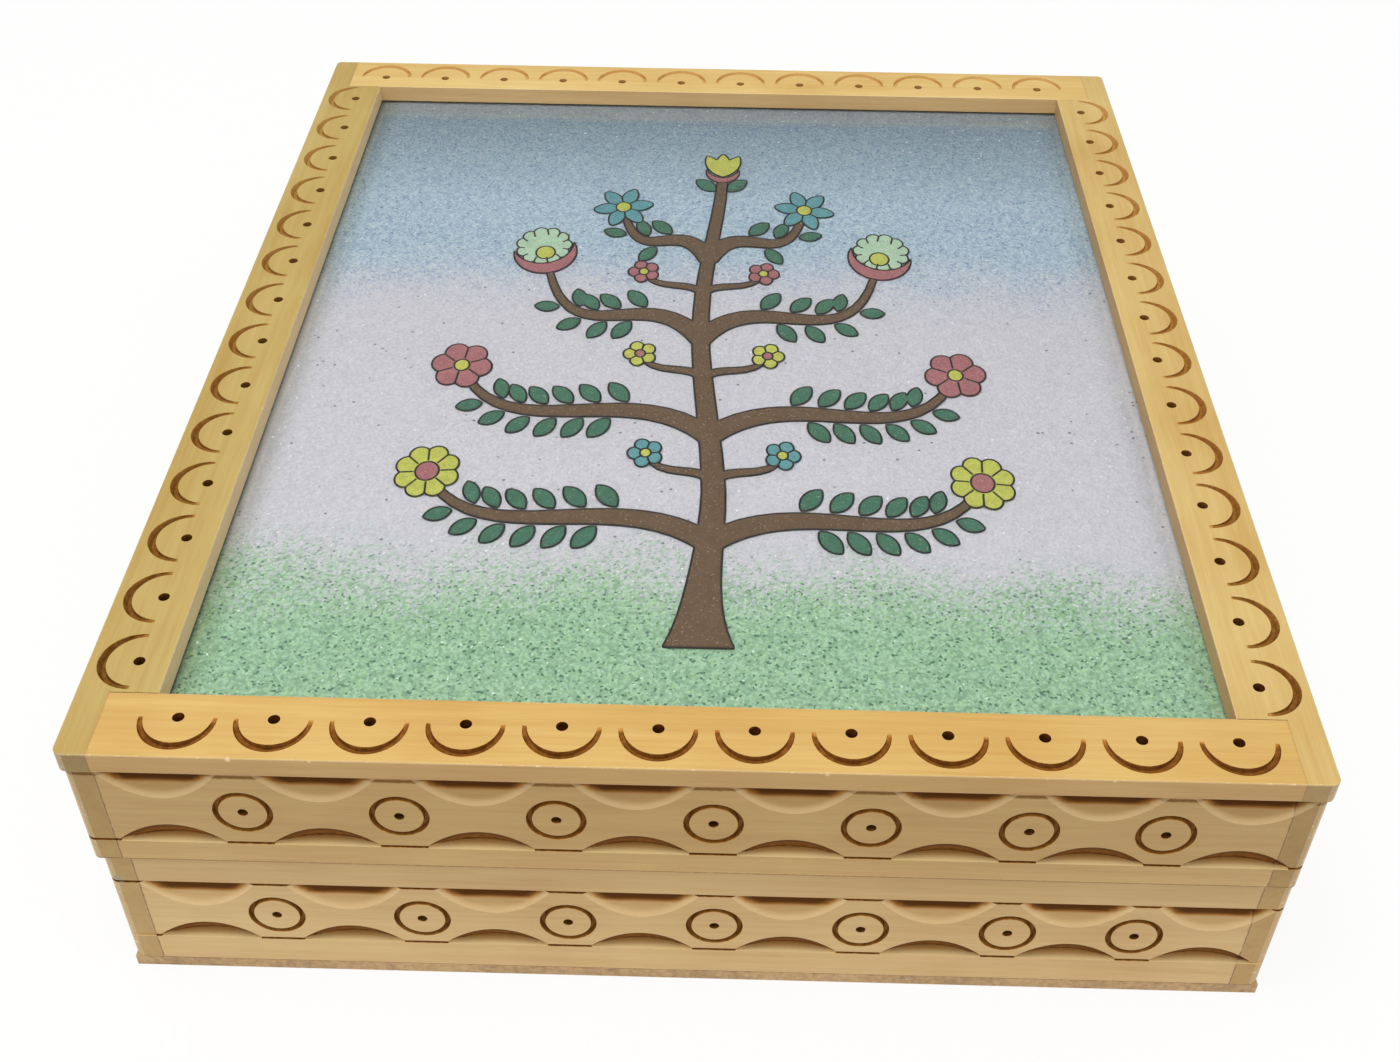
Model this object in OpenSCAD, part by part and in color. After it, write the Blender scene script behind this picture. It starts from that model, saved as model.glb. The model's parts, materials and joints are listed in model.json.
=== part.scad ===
// Carved wooden box: a hinged lid with a framed picture under a clear pane, on a shallow tray.
// The origin is the middle of the underside. X runs to the right, Y to the hinges and Z up.

/* [Overall] */
// Width of the lid frame, left to right
lid_w = 203; // [170:1:240]
// Depth of the lid frame, front to back
lid_d = 243.6; // [210:0.1:280]
// How far the lid frame stands out past the lid walls
frame_lip = 0.5; // [0:0.1:1]
// How far the lid walls stand out past the base walls
lid_overhang = 0.55; // [0.1:0.05:1]
// How far the base sits to the right under the lid
base_shift = 0.5; // [0:0.1:0.8]

/* [Walls] */
// Thickness of every wall
wall_t = 5; // [4.8:0.1:7]
// Height of the base walls
base_wall_h = 28.8; // [26:0.1:50]
// Height of the lid walls
lid_wall_h = 22.7; // [21:0.1:35]
// Thickness of the bottom board
bottom_t = 2.4; // [2:0.1:4]

/* [Lid frame] */
// Width of the flat rails round the picture
rail_w = 13.7; // [12:0.1:18]
// Thickness of the rails
rail_t = 4.1; // [3.5:0.1:6]

/* [Lid panel] */
// Thickness of the clear pane
pane_t = 1; // [0.8:0.1:2]
// Thickness of the coloured inlays on the back of the pane
inlay_t = 0.3; // [0.2:0.05:0.5]
// Thickness of the stone dust behind the inlays
field_t = 0.5; // [0.3:0.1:1]
// Thickness of the backing board
backing_t = 2.4; // [2:0.1:4]
// Gap between the edges of the panel's layers and the walls
panel_gap = 0.3; // [0.1:0.1:0.6]

/* [Lining] */
// Thickness of the velvet linings
lining_t = 1; // [0.6:0.1:2]
// Gap between the edges of the linings and the walls
lining_gap = 0.3; // [0.1:0.1:0.6]

/* [Saw lines] */
// Height of the saw lines round the walls
kerf_w = 0.6; // [0.4:0.1:1]
// Depth of the saw lines
kerf_depth = 1; // [0.5:0.1:1.2]
// Height of the plain strip along the lower edge of the lid
lid_strip_h = 4.9; // [4.7:0.1:6]
// Height of the plain strip along the upper edge of the base
base_high_strip_h = 6.6; // [5.5:0.1:7.5]
// Height of the plain strip along the lower edge of the base walls
base_low_strip_h = 6.3; // [6:0.1:7]

/* [Rings on the walls] */
// Outer radius of a ring
ring_r = 4.95; // [3.5:0.05:5.2]
// Width of the ring's groove at the surface
ring_groove_w = 1; // [0.8:0.1:1.4]
// Width of the ring's groove at its floor
ring_floor_w = 0.7; // [0.4:0.1:0.8]
// Depth of the ring's groove
ring_depth = 1; // [0.5:0.1:1.5]
// Diameter of the drilled dot in the ring
ring_dot_d = 1.7; // [1:0.1:2.2]
// Depth of the drilled dot
ring_dot_depth = 2.2; // [1:0.1:3]
// Spacing that the rings are stepped off at
ring_step = 25.5; // [23:0.5:28]
// Distance from a wall's left end to its first ring
ring_first_in = 27.6; // [25:0.1:32]
// Distance from a wall's right end to its last ring
ring_last_in = 24.4; // [23:0.1:30]
// How much closer the last ring is than the others
ring_squeeze = 3.5; // [0:0.1:4]
// How far the rings sit below the middle of their band
ring_drop = 0.8; // [0:0.1:1.2]

/* [Scoops on the walls] */
// Radius of the gouge that cuts the scoops
scoop_r = 22; // [16:0.5:24]
// Depth of a lower scoop at its ledge
low_scoop_depth = 2.4; // [1.5:0.1:2.6]
// Height of a lower scoop
low_scoop_h = 4.6; // [4:0.1:5.5]
// Depth of an upper scoop at its ledge
high_scoop_depth = 2.8; // [1.5:0.1:2.9]
// Height of an upper scoop
high_scoop_h = 6.6; // [4:0.1:6.8]

/* [Half rings on the frame] */
// Outer radius of a half ring
arc_r = 6.8; // [5.5:0.1:7.2]
// Width of its groove where it is deepest
arc_groove_w = 1.5; // [1:0.1:1.8]
// Width of its groove at the ends
arc_tip_w = 0.7; // [0.4:0.1:0.9]
// Depth of its groove where it is deepest
arc_depth = 0.95; // [0.5:0.05:1.3]
// Diameter of the drilled dots on the frame
arc_dot_d = 2; // [1:0.1:2.6]
// Depth of those dots
arc_dot_depth = 2.2; // [1:0.1:3]
// Distance from a rail's outer edge to its dots
arc_in = 8.5; // [8:0.1:9.5]
// Spacing that the half rings are stepped off at
arc_step = 15.5; // [15:0.1:20]
// Distance from the left end of the front and back rows to the first dot
end_row_start = 18.2; // [16:0.1:24]
// Distance from the right end of the front and back rows to the last dot
end_row_stop = 14.4; // [13:0.1:24]
// Distance from both ends of the side rows to the outermost dots
side_row_in = 20.8; // [20:0.1:26]

/* [Hinges] */
// Distance from the lid wall's end to the middle of each hinge
hinge_in = 43; // [30:1:60]
// Length of a hinge
hinge_l = 22; // [18:0.5:30]
// Width of a leaf let into the wall's edge
leaf_w = 4.2; // [3.6:0.1:4.3]
// Thickness of a leaf
leaf_t = 0.8; // [0.7:0.1:1.2]
// Room between a leaf's edges and its recess
leaf_room = 0.1; // [0.05:0.05:0.3]
// Outer radius of the knuckles
knuckle_r = 1.6; // [1.4:0.1:2.5]
// Gap between the knuckles and the lid's back wall
knuckle_gap = 0.3; // [0.2:0.1:0.6]
// Gap between neighbouring knuckles
knuckle_play = 0.15; // [0.1:0.05:0.3]
// Diameter of the hinge pin
hinge_pin_d = 1.4; // [1.2:0.1:1.6]
// Running clearance round the hinge pin
pin_play = 0.05; // [0.02:0.01:0.1]
// How far the hinge pin shows past the knuckles
hinge_cap_h = 0.3; // [0.1:0.1:0.8]
// Diameter of a hinge screw's shank
screw_d = 1.2; // [1:0.1:1.4]
// Diameter of a hinge screw's head
screw_head_d = 2.4; // [2:0.1:2.8]
// Height of the cone of a hinge screw's head
screw_head_h = 0.55; // [0.4:0.05:0.7]
// Width of the slot in a hinge screw's head
slot_w = 0.35; // [0.2:0.05:0.5]
// Depth of that slot
slot_h = 0.25; // [0.1:0.05:0.4]
// Length of a hinge screw
screw_l = 4.4; // [3:0.1:4.4]
// Distance from a leaf's end to its screw
screw_in = 4.5; // [3:0.1:6]

/* [Nails] */
// Diameter of the nails
nail_d = 1.2; // [1:0.1:1.4]
// Length of the nails at the corners
corner_nail_l = 16; // [12:0.5:18]
// Length of the nails through the bottom board
bottom_nail_l = 8; // [6:0.5:8]
// Room round a nail or a screw in its hole
nail_room = 0.05; // [0.02:0.01:0.1]
// Distance from a corner of the base to the outer nails along its front and back
end_nail_in = 22.5; // [20:0.5:40]
// Distance from a corner of the base to the outer nails along its sides
side_nail_in = 42.5; // [20:0.5:60]

/* [Tree picture] */
// Distance from the lower edge of the picture to the root
root_in = 18; // [8:1:30]
// Distance from the upper edge of the picture to the last flower
crown_in = 38; // [30:1:50]
// Distance from the sides of the picture to the widest branch
spread_in = 34; // [30:1:45]
// How much taller than wide the motifs are drawn, to look round from the front
picture_tall = 1.25; // [1:0.05:1.5]
// Width of the trunk
trunk_w = 5.2; // [4:0.1:8]
// How far the trunk waves to each side
trunk_sway = 2; // [0:0.1:3]
// Width of the root
root_w = 12.5; // [10:0.5:24]
// Width of a branch where it leaves the trunk
branch_w = 4.6; // [2:0.1:5.5]
// Width of a branch at its flower
twig_w = 1.5; // [0.8:0.1:2]
// How far the short sprigs reach from the trunk
sprig_out = 13.5; // [12:0.5:18]
// How far a short sprig rises
sprig_rise = 7; // [5:0.5:9]
// Length of a leaf
leaf_l = 6.4; // [5:0.1:7]
// Width of a leaf
leaf_breadth = 3.6; // [2:0.1:4]
// Spacing of the leaves along a branch
leaf_step = 9; // [7.5:0.1:14]
// Gap between a leaf and its branch
leaf_gap = 0.6; // [0.3:0.1:1]
// Gap between the two topmost leaves and the trunk's tip
top_leaf_gap = 1.6; // [1:0.1:2.5]
// Radius of the yellow and red flowers
flower_r = 6.4; // [5:0.1:7]
// Radius of the blue flowers
star_r = 7.4; // [6:0.1:8]
// Radius of the pale palmettes
palmette_r = 9; // [7:0.1:9.5]
// Radius of the small buds on the sprigs
bud_r = 3.6; // [3:0.1:4.4]
// Radius of the middle of a daisy
daisy_eye = 2.3; // [1.5:0.1:3]
// Radius of the middle of a rosette
rosette_eye = 1.6; // [1:0.1:2.4]
// Radius of the middle of a blue star
star_eye = 1.8; // [1.4:0.1:2.6]
// Radius of the middle of a palmette
palmette_eye = 2.2; // [1:0.1:2.6]
// Radius of the middle of a bud
bud_eye = 1.1; // [0.7:0.1:1.5]

/* [Hidden] */
$fn = 48;
over = 1; // how far a cutter runs past the face it cuts

split_z = bottom_t + base_wall_h;
frame_z = split_z + lid_wall_h;
top_z = frame_z + rail_t;

lid_x = lid_w / 2 - frame_lip;
lid_y = lid_d / 2 - frame_lip;
base_x = lid_x - lid_overhang;
base_y = lid_y - lid_overhang;

// Each band is the carved part of a wall, between the outer edges of its two saw lines
lid_band = [split_z + lid_strip_h, frame_z];
base_band = [bottom_t + base_low_strip_h, split_z - base_high_strip_h];

end_strip = wall_t + frame_lip;
inlay_top = frame_z - pane_t;
field_top = inlay_top - inlay_t;
backing_top = field_top - field_t;
lid_lining_top = backing_top - backing_t;

arc_mid = arc_r - arc_groove_w / 2;
arc_tilt = asin(arc_depth / arc_mid);

axis_y = lid_y + knuckle_gap + knuckle_r;
knuckle_l = (hinge_l - 2 * knuckle_play) / 3;
hinge_x = lid_x - hinge_in;

picture_x = lid_w / 2 - rail_w;
picture_y = lid_d / 2 - rail_w;
root_y = root_in - picture_y;
tree_h = (2 * picture_y - root_in - crown_in) / picture_tall;
tree_reach = picture_x - spread_in;
branch_steps = 18; // straight stretches along a branch
sprig_steps = 8; // straight stretches along a sprig
trunk_steps = 26; // straight stretches up the trunk

// Where each pair of branches leaves the trunk, as a share of the tree's height
branch_from = [0.17, 0.37, 0.58, 0.78];
// How far each pair reaches, as a share of the tree's reach
branch_out = [1, 0.96, 0.68, 0.4];
// How far each pair rises, as a share of the tree's height
branch_rise = [0.12, 0.14, 0.16, 0.14];
branch_flower = ["daisy", "rosette", "palmette", "star"];

// Short sprigs on the trunk between the branches: their places, reach, rise and kind
sprig_from = [0.28, 0.49, 0.69];
sprig_flower = ["blue_bud", "yellow_bud", "red_bud"];

function row(first, last, step) =
    let (n = max(1, round((last - first) / step)))
    [for (i = [0:n]) first + i * (last - first) / n];

// Rings are stepped off from the left end, and the last one is drawn in a little
function ring_row(half) =
    let (
        first = ring_first_in - half,
        last = half - ring_last_in,
        n = max(1, round((last - first + ring_squeeze) / ring_step)),
        step = (last - first + ring_squeeze) / n
    )
    [for (i = [0:n]) i < n ? first + i * step : last];

// Scoops lie midway between rings, with one more past each end of the row
function scoop_row(rings) =
    let (half_step = (rings[1] - rings[0]) / 2)
    [for (i = [0:len(rings)]) i == 0 ? rings[0] - half_step :
        i == len(rings) ? rings[i - 1] + half_step : (rings[i - 1] + rings[i]) / 2];

// Turns a shape made for the front face to another face, out millimetres from the middle
module on_face(turn, out) {
    rotate([0, 0, turn]) translate([0, -out, 0]) children();
}

module block(x0, x1, y0, y1, z0, z1) {
    translate([x0, y0, z0]) cube([x1 - x0, y1 - y0, z1 - z0]);
}

// One saw line all the way round a box of half sizes hx and hy
module saw_line(hx, hy, z0) {
    difference() {
        block(-hx - over, hx + over, -hy - over, hy + over, z0, z0 + kerf_w);
        block(
            kerf_depth - hx, hx - kerf_depth, kerf_depth - hy, hy - kerf_depth,
            z0 - over, z0 + kerf_w + over
        );
    }
}

// Gouge for a scoop: its ledge is at z = 0 and it runs out at z = rise
module scoop(depth, rise) {
    tilt = atan(depth / rise);
    up = sign(rise);
    intersection() {
        translate([0, depth - scoop_r / cos(tilt), 0])
            rotate([tilt, 0, 0]) cylinder(r = scoop_r, h = 3 * scoop_r, center = true);
        block(-scoop_r, scoop_r, -over, depth + over, min(0, rise + up), max(0, rise + up));
    }
}

// Ring groove with sloping sides, its floor at z = 0 and its axis along Z
module ring_groove(mid, floor_w, slope, h) {
    rotate_extrude()
        polygon([
            [mid - floor_w / 2, 0], [mid + floor_w / 2, 0],
            [mid + floor_w / 2 + slope * h, h], [mid - floor_w / 2 - slope * h, h]
        ]);
}

// Ring and dot on the front face, with its middle at x and z
module wall_ring(x, z) {
    slope = (ring_groove_w - ring_floor_w) / 2 / ring_depth;
    translate([x, ring_depth, z]) rotate([90, 0, 0])
        ring_groove(ring_r - ring_groove_w / 2, ring_floor_w, slope, ring_depth + over);
    translate([x, -over, z]) rotate([-90, 0, 0]) cylinder(d = ring_dot_d, h = ring_dot_depth + over);
}

// All the scoops and rings of one face that is half millimetres wide each way
module face_carving(half, band) {
    rings = ring_row(half);
    for (x = rings) wall_ring(x, (band[0] + band[1]) / 2 - ring_drop);
    for (x = scoop_row(rings)) scoop_pair(x, band);
}

module scoop_pair(x, band) {
    translate([x, 0, band[0]]) scoop(low_scoop_depth, low_scoop_h);
    translate([x, 0, band[1]]) scoop(high_scoop_depth, -high_scoop_h);
}

// The outermost scoops of a face, which run a little way onto the ends of the side walls
module face_overrun(half, band) {
    scoops = scoop_row(ring_row(half));
    for (x = [scoops[0], scoops[len(scoops) - 1]]) scoop_pair(x, band);
}

module wall_saw_lines(hx, hy, band) {
    saw_line(hx, hy, band[0]);
    saw_line(hx, hy, band[1] - kerf_w);
}

// Front or back wall, held between the side walls
module end_wall(turn, hx, hy, z0, z1, band, nail_z) {
    inner = hx - wall_t;
    difference() {
        on_face(turn, hy) block(-inner, inner, 0, wall_t, z0, z1);
        wall_saw_lines(hx, hy, band);
        on_face(turn, hy) face_carving(hx, band);
        corner_nail_set(hx, hy, nail_z, nail_room);
    }
}

// Left or right wall, over the whole depth, with its end grain showing at the front
module side_wall(turn, hx, hy, z0, z1, band, nail_z) {
    difference() {
        on_face(turn, hx) block(-hy, hy, 0, wall_t, z0, z1);
        wall_saw_lines(hx, hy, band);
        on_face(turn, hx) face_carving(hy, band);
        on_face(0, hy) face_overrun(hx, band);
        on_face(180, hy) face_overrun(hx, band);
        corner_nail_set(hx, hy, nail_z, nail_room);
    }
}

module nail(d, l) {
    cylinder(d = d, h = l);
}

// Nails driven from the sides into the ends of the front and back walls
module corner_nail_set(hx, hy, heights, room) {
    for (z = heights, sx = [-1, 1], sy = [-1, 1])
        translate([sx * hx, sy * (hy - wall_t / 2), z]) rotate([0, -90 * sx, 0])
            nail(nail_d + 2 * room, corner_nail_l + room);
}

// Nails driven up through the bottom board into the middle of the walls' edges
module bottom_nail_set(room) {
    mid_x = base_x - wall_t / 2;
    mid_y = base_y - wall_t / 2;
    for (s = [-1, 1], a = [-1, 0, 1]) {
        translate([s * mid_x, a * (base_y - side_nail_in), 0])
            nail(nail_d + 2 * room, bottom_nail_l + room);
        translate([a * (base_x - end_nail_in), s * mid_y, 0])
            nail(nail_d + 2 * room, bottom_nail_l + room);
    }
}

lid_nail_z = [split_z + lid_strip_h / 2, (lid_band[0] + lid_band[1]) / 2];
base_nail_z = [bottom_t + base_low_strip_h / 2, split_z - base_high_strip_h / 2];

// Row of half rings and dots along a rail whose outer edge is out millimetres from the middle
module arc_row(turn, out, places) {
    slope = (arc_groove_w - arc_tip_w) / 2 / arc_depth;
    for (x = places) on_face(turn, out - arc_in) translate([x, 0, top_z]) {
        rotate([arc_tilt, 0, 0]) ring_groove(arc_mid, arc_tip_w, slope, 2 * arc_depth);
        translate([0, 0, -arc_dot_depth]) cylinder(d = arc_dot_d, h = arc_dot_depth + over);
    }
}

end_row = row(end_row_start - lid_w / 2, lid_w / 2 - end_row_stop, arc_step);
side_row = row(side_row_in - lid_d / 2, lid_d / 2 - side_row_in, arc_step);

// Front or back rail, between the strips of the side rails
module end_rail(turn) {
    half = lid_w / 2 - end_strip;
    difference() {
        on_face(turn, lid_d / 2) block(-half, half, 0, rail_w, frame_z, top_z);
        arc_row(turn, lid_d / 2, end_row);
    }
}

// Left or right rail: only its outer strip runs on past the end rails
module side_rail(turn) {
    half = lid_d / 2;
    difference() {
        on_face(turn, lid_w / 2) union() {
            block(-half, half, 0, end_strip, frame_z, top_z);
            block(rail_w - half, half - rail_w, 0, rail_w, frame_z, top_z);
        }
        arc_row(turn, lid_w / 2, side_row);
    }
}

// Sheet that lies inside walls of outer half sizes hx and hy, gap away from them
module inner_sheet(hx, hy, gap, z0, z1) {
    x = hx - wall_t - gap;
    y = hy - wall_t - gap;
    block(-x, x, -y, y, z0, z1);
}

module lid_rail_front() { color("burlywood") end_rail(0); }
module lid_rail_back() { color("burlywood") end_rail(180); }
module lid_rail_left() { color("tan") side_rail(270); }
module lid_rail_right() { color("tan") side_rail(90); }

module lid_wall_front() {
    color("burlywood") end_wall(0, lid_x, lid_y, split_z, frame_z, lid_band, lid_nail_z);
}

module lid_wall_back() {
    color("burlywood") difference() {
        end_wall(180, lid_x, lid_y, split_z, frame_z, lid_band, lid_nail_z);
        hinge_recesses(lid_y, 1);
    }
}

module lid_wall_left() {
    color("tan") side_wall(270, lid_x, lid_y, split_z, frame_z, lid_band, lid_nail_z);
}

module lid_wall_right() {
    color("tan") side_wall(90, lid_x, lid_y, split_z, frame_z, lid_band, lid_nail_z);
}

module clear_pane() {
    color("lightcyan", 0.3) inner_sheet(lid_x, lid_y, panel_gap, inlay_top, frame_z);
}

module dust_field() {
    color("lavender") inner_sheet(lid_x, lid_y, panel_gap, backing_top, field_top);
}

module lid_backing() {
    color("peru") inner_sheet(lid_x, lid_y, panel_gap, lid_lining_top, backing_top);
}

module lid_lining() {
    color("darkred") inner_sheet(lid_x, lid_y, lining_gap, lid_lining_top - lining_t, lid_lining_top);
}

module lid_corner_nails() { color("silver") corner_nail_set(lid_x, lid_y, lid_nail_z, 0); }

module base_wall_front() {
    color("burlywood") translate([base_shift, 0, 0])
        end_wall_with_nails(0);
}

module base_wall_back() {
    color("burlywood") difference() {
        translate([base_shift, 0, 0]) end_wall_with_nails(180);
        hinge_recesses(base_y, -1);
    }
}

module end_wall_with_nails(turn) {
    difference() {
        end_wall(turn, base_x, base_y, bottom_t, split_z, base_band, base_nail_z);
        bottom_nail_set(nail_room);
    }
}

module base_side_wall(turn) {
    color("tan") translate([base_shift, 0, 0]) difference() {
        side_wall(turn, base_x, base_y, bottom_t, split_z, base_band, base_nail_z);
        bottom_nail_set(nail_room);
    }
}

module base_wall_left() { base_side_wall(270); }
module base_wall_right() { base_side_wall(90); }

module bottom_board() {
    color("rosybrown") translate([base_shift, 0, 0]) difference() {
        block(-base_x, base_x, -base_y, base_y, 0, bottom_t);
        bottom_nail_set(nail_room);
    }
}

module base_lining() {
    color("darkred") translate([base_shift, 0, 0])
        inner_sheet(base_x, base_y, lining_gap, bottom_t, bottom_t + lining_t);
}

module base_corner_nails() {
    color("silver") translate([base_shift, 0, 0]) corner_nail_set(base_x, base_y, base_nail_z, 0);
}

module bottom_nails() { color("silver") translate([base_shift, 0, 0]) bottom_nail_set(0); }

// A leaf lies on the wall's edge: side is 1 for the lid above it and -1 for the base below
module leaf_plate(wall_y, side, room) {
    low = side > 0 ? 0 : -leaf_t;
    block(
        -hinge_l / 2 - room, hinge_l / 2 + room, wall_y - leaf_w - room, wall_y + (room > 0 ? over : 0),
        split_z + low, split_z + low + leaf_t
    );
}

module leaf_screws(wall_y, side, room) {
    for (x = [screw_in - hinge_l / 2, hinge_l / 2 - screw_in])
        translate([x, wall_y - leaf_w / 2, split_z]) rotate([side > 0 ? 0 : 180, 0, 0]) {
            cylinder(d = screw_d + 2 * room, h = screw_l + room);
            cylinder(d1 = screw_head_d + 2 * room, d2 = screw_d + 2 * room, h = screw_head_h);
        }
}

module hinge_recesses(wall_y, side) {
    for (x = [-hinge_x, hinge_x]) translate([x, 0, 0]) {
        leaf_plate(wall_y, side, leaf_room);
        leaf_screws(wall_y, side, nail_room);
    }
}

// The barrel of one knuckle from x0 to x1, with the tab that joins it to its leaf
module knuckle(x0, x1, wall_y, side) {
    low = side > 0 ? 0 : -leaf_t;
    translate([x0, axis_y, split_z]) rotate([0, 90, 0]) cylinder(r = knuckle_r, h = x1 - x0);
    block(x0, x1, wall_y, axis_y, split_z + low, split_z + low + leaf_t);
}

module hinge_bore() {
    translate([-hinge_l, axis_y, split_z]) rotate([0, 90, 0])
        cylinder(d = hinge_pin_d + 2 * pin_play, h = 2 * hinge_l);
}

// The lid's leaf has the middle knuckle
module hinge_lid_leaf(x) {
    color("gold") translate([x, 0, 0]) difference() {
        union() {
            leaf_plate(lid_y, 1, 0);
            knuckle(-knuckle_l / 2, knuckle_l / 2, lid_y, 1);
        }
        hinge_bore();
        leaf_screws(lid_y, 1, nail_room);
    }
}

// The base's leaf has the two outer knuckles
module hinge_base_leaf(x) {
    color("gold") translate([x, 0, 0]) difference() {
        union() {
            leaf_plate(base_y, -1, 0);
            knuckle(-hinge_l / 2, knuckle_l - hinge_l / 2, base_y, -1);
            knuckle(hinge_l / 2 - knuckle_l, hinge_l / 2, base_y, -1);
        }
        hinge_bore();
        leaf_screws(base_y, -1, nail_room);
    }
}

module hinge_pin(x) {
    length = hinge_l + 2 * hinge_cap_h;
    color("goldenrod") translate([x - length / 2, axis_y, split_z]) rotate([0, 90, 0])
        cylinder(d = hinge_pin_d, h = length);
}

module hinge_screws(x, wall_y, side) {
    color("goldenrod") translate([x, 0, 0]) difference() {
        leaf_screws(wall_y, side, 0);
        block(
            -hinge_l / 2, hinge_l / 2, wall_y - leaf_w / 2 - slot_w / 2, wall_y - leaf_w / 2 + slot_w / 2,
            split_z - slot_h, split_z + slot_h
        );
    }
}

module left_hinge_lid_leaf() { hinge_lid_leaf(-hinge_x); }
module left_hinge_lid_screws() { hinge_screws(-hinge_x, lid_y, 1); }
module right_hinge_lid_leaf() { hinge_lid_leaf(hinge_x); }
module right_hinge_lid_screws() { hinge_screws(hinge_x, lid_y, 1); }
module left_hinge_base_leaf() { hinge_base_leaf(-hinge_x); }
module left_hinge_pin() { hinge_pin(-hinge_x); }
module left_hinge_base_screws() { hinge_screws(-hinge_x, base_y, -1); }
module right_hinge_base_leaf() { hinge_base_leaf(hinge_x); }
module right_hinge_pin() { hinge_pin(hinge_x); }
module right_hinge_base_screws() { hinge_screws(hinge_x, base_y, -1); }

function bez(p, t) =
    p[0] * pow(1 - t, 3) + 3 * p[1] * t * pow(1 - t, 2) + 3 * p[2] * t * t * (1 - t) + p[3] * pow(t, 3);
function bez_slope(p, t) =
    3 * (p[1] - p[0]) * pow(1 - t, 2) + 6 * (p[2] - p[1]) * t * (1 - t) + 3 * (p[3] - p[2]) * t * t;
function heading(p, t) = let (d = bez_slope(p, t)) atan2(d[1], d[0]);
function toward(angle) = [cos(angle), sin(angle)];

function spun(p, a) = [p[0] * cos(a) - p[1] * sin(a), p[0] * sin(a) + p[1] * cos(a)];

// Draws an outline at a place in the picture, turned, and then all of it stretched up from the root
module drawn(outline, at = [0, 0], turn = 0) {
    polygon([for (p = outline) let (q = at + spun(p, turn)) [q[0], root_y + (q[1] - root_y) * picture_tall]]);
}

// The trunk's middle line waves a little from side to side
function trunk_x(t) = trunk_sway * sin(430 * t) * min(1, 4 * t);
function trunk_point(t) = [trunk_x(t), root_y + tree_h * t];

// Middle line of the branch at one level: up off the trunk, a dip, then up to its flower
function branch(level, side) =
    let (
        start = trunk_point(branch_from[level]),
        x = side * tree_reach * branch_out[level],
        rise = tree_h * branch_rise[level]
    )
    [start, start + [x * 0.34, rise * 0.9], [x * 0.8, start[1] - rise * 0.35], [x, start[1] + rise]];

// Middle line of the sprig at one place
function sprig(place, side) =
    let (start = trunk_point(sprig_from[place]), x = side * sprig_out)
    [start, start + [x * 0.2, sprig_rise * 0.7], start + [x * 0.8, 0], start + [x, sprig_rise]];

function branch_width(t) = branch_w + (twig_w - branch_w) * t;

// Tapering line along a curve, from width w0 to width w1
module stroke(p, w0, w1, steps) {
    drawn(concat(
        [for (i = [0:steps]) let (t = i / steps)
            bez(p, t) + toward(heading(p, t) + 90) * (w0 + (w1 - w0) * t) / 2],
        [for (i = [steps:-1:0]) let (t = i / steps)
            bez(p, t) + toward(heading(p, t) - 90) * (w0 + (w1 - w0) * t) / 2]
    ));
}

// Half the trunk's width at a share t of its height: flared at the root, thin at the crown
function trunk_half(t) = trunk_w / 2 * (1 - 0.5 * t) + (root_w - trunk_w) / 2 * exp(-17 * t);

module trunk() {
    heights = [for (i = [0:trunk_steps]) pow(i / trunk_steps, 1.4)];
    drawn(concat(
        [for (i = [0:trunk_steps]) trunk_point(heights[i]) - [trunk_half(heights[i]), 0]],
        [for (i = [trunk_steps:-1:0]) trunk_point(heights[i]) + [trunk_half(heights[i]), 0]]
    ));
}

// Outlines of the motifs. Flowers are round their middles, and leaves and petals run up from 0, 0
oval_steps = 8; // straight stretches along each side of a leaf or a petal
lobe_steps = 9; // straight stretches round each lobe
round_steps = 32; // straight stretches round a circle
function round_line(r, up = 0) =
    [for (i = [0:round_steps - 1]) [0, up] + r * toward(i * 360 / round_steps)];

// Pointed oval: two arcs through its ends
function oval_half(y, length, breadth) =
    let (r = (length * length + breadth * breadth) / (4 * breadth))
    max(0, sqrt(max(0, r * r - pow(y - length / 2, 2))) - r + breadth / 2);
function oval_line(length, breadth) =
    let (ups = [for (i = [0:oval_steps]) length * (1 - cos(180 * i / oval_steps)) / 2])
    concat(
        [for (i = [0:oval_steps]) [oval_half(ups[i], length, breadth), ups[i]]],
        [for (i = [oval_steps - 1:-1:1]) [-oval_half(ups[i], length, breadth), ups[i]]]
    );

// Ring of round lobes of radius size, each centred out from the middle
function lobed_line(count, size, out, up = 0) =
    [for (i = [0:count * lobe_steps - 1])
        let (off = (i % lobe_steps) * 360 / count / lobe_steps - 180 / count)
        [0, up] + toward(90 + floor(i / lobe_steps) * 360 / count + off)
            * (out * cos(off) + sqrt(size * size - pow(out * sin(off), 2)))];

// Six pointed petals, each half as wide as it is long
function star_line(r) =
    [for (i = [0:6 * lobe_steps - 1])
        let (off = (i % lobe_steps) * 60 / lobe_steps - 30)
        toward(60 + floor(i / lobe_steps) * 60 + off) * r * (cos(off) - 0.75 * sin(abs(off)))];

// Draws an outline at the end of every branch or sprig of the named kind
module at_flowers(kind, outline) {
    for (level = [0:len(branch_flower) - 1], side = [-1, 1])
        if (branch_flower[level] == kind) at_end(branch(level, side), outline);
    for (place = [0:len(sprig_flower) - 1], side = [-1, 1])
        if (sprig_flower[place] == kind) at_end(sprig(place, side), outline);
    if (kind == "bell") drawn(outline, trunk_point(1));
}

module at_end(p, outline) { drawn(outline, p[3], heading(p, 1) - 90); }

daisy_line = lobed_line(8, 0.33 * flower_r, 0.67 * flower_r);
rosette_line = lobed_line(6, 0.4 * flower_r, 0.6 * flower_r);
bud_line = lobed_line(5, 0.42 * bud_r, 0.58 * bud_r);

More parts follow.
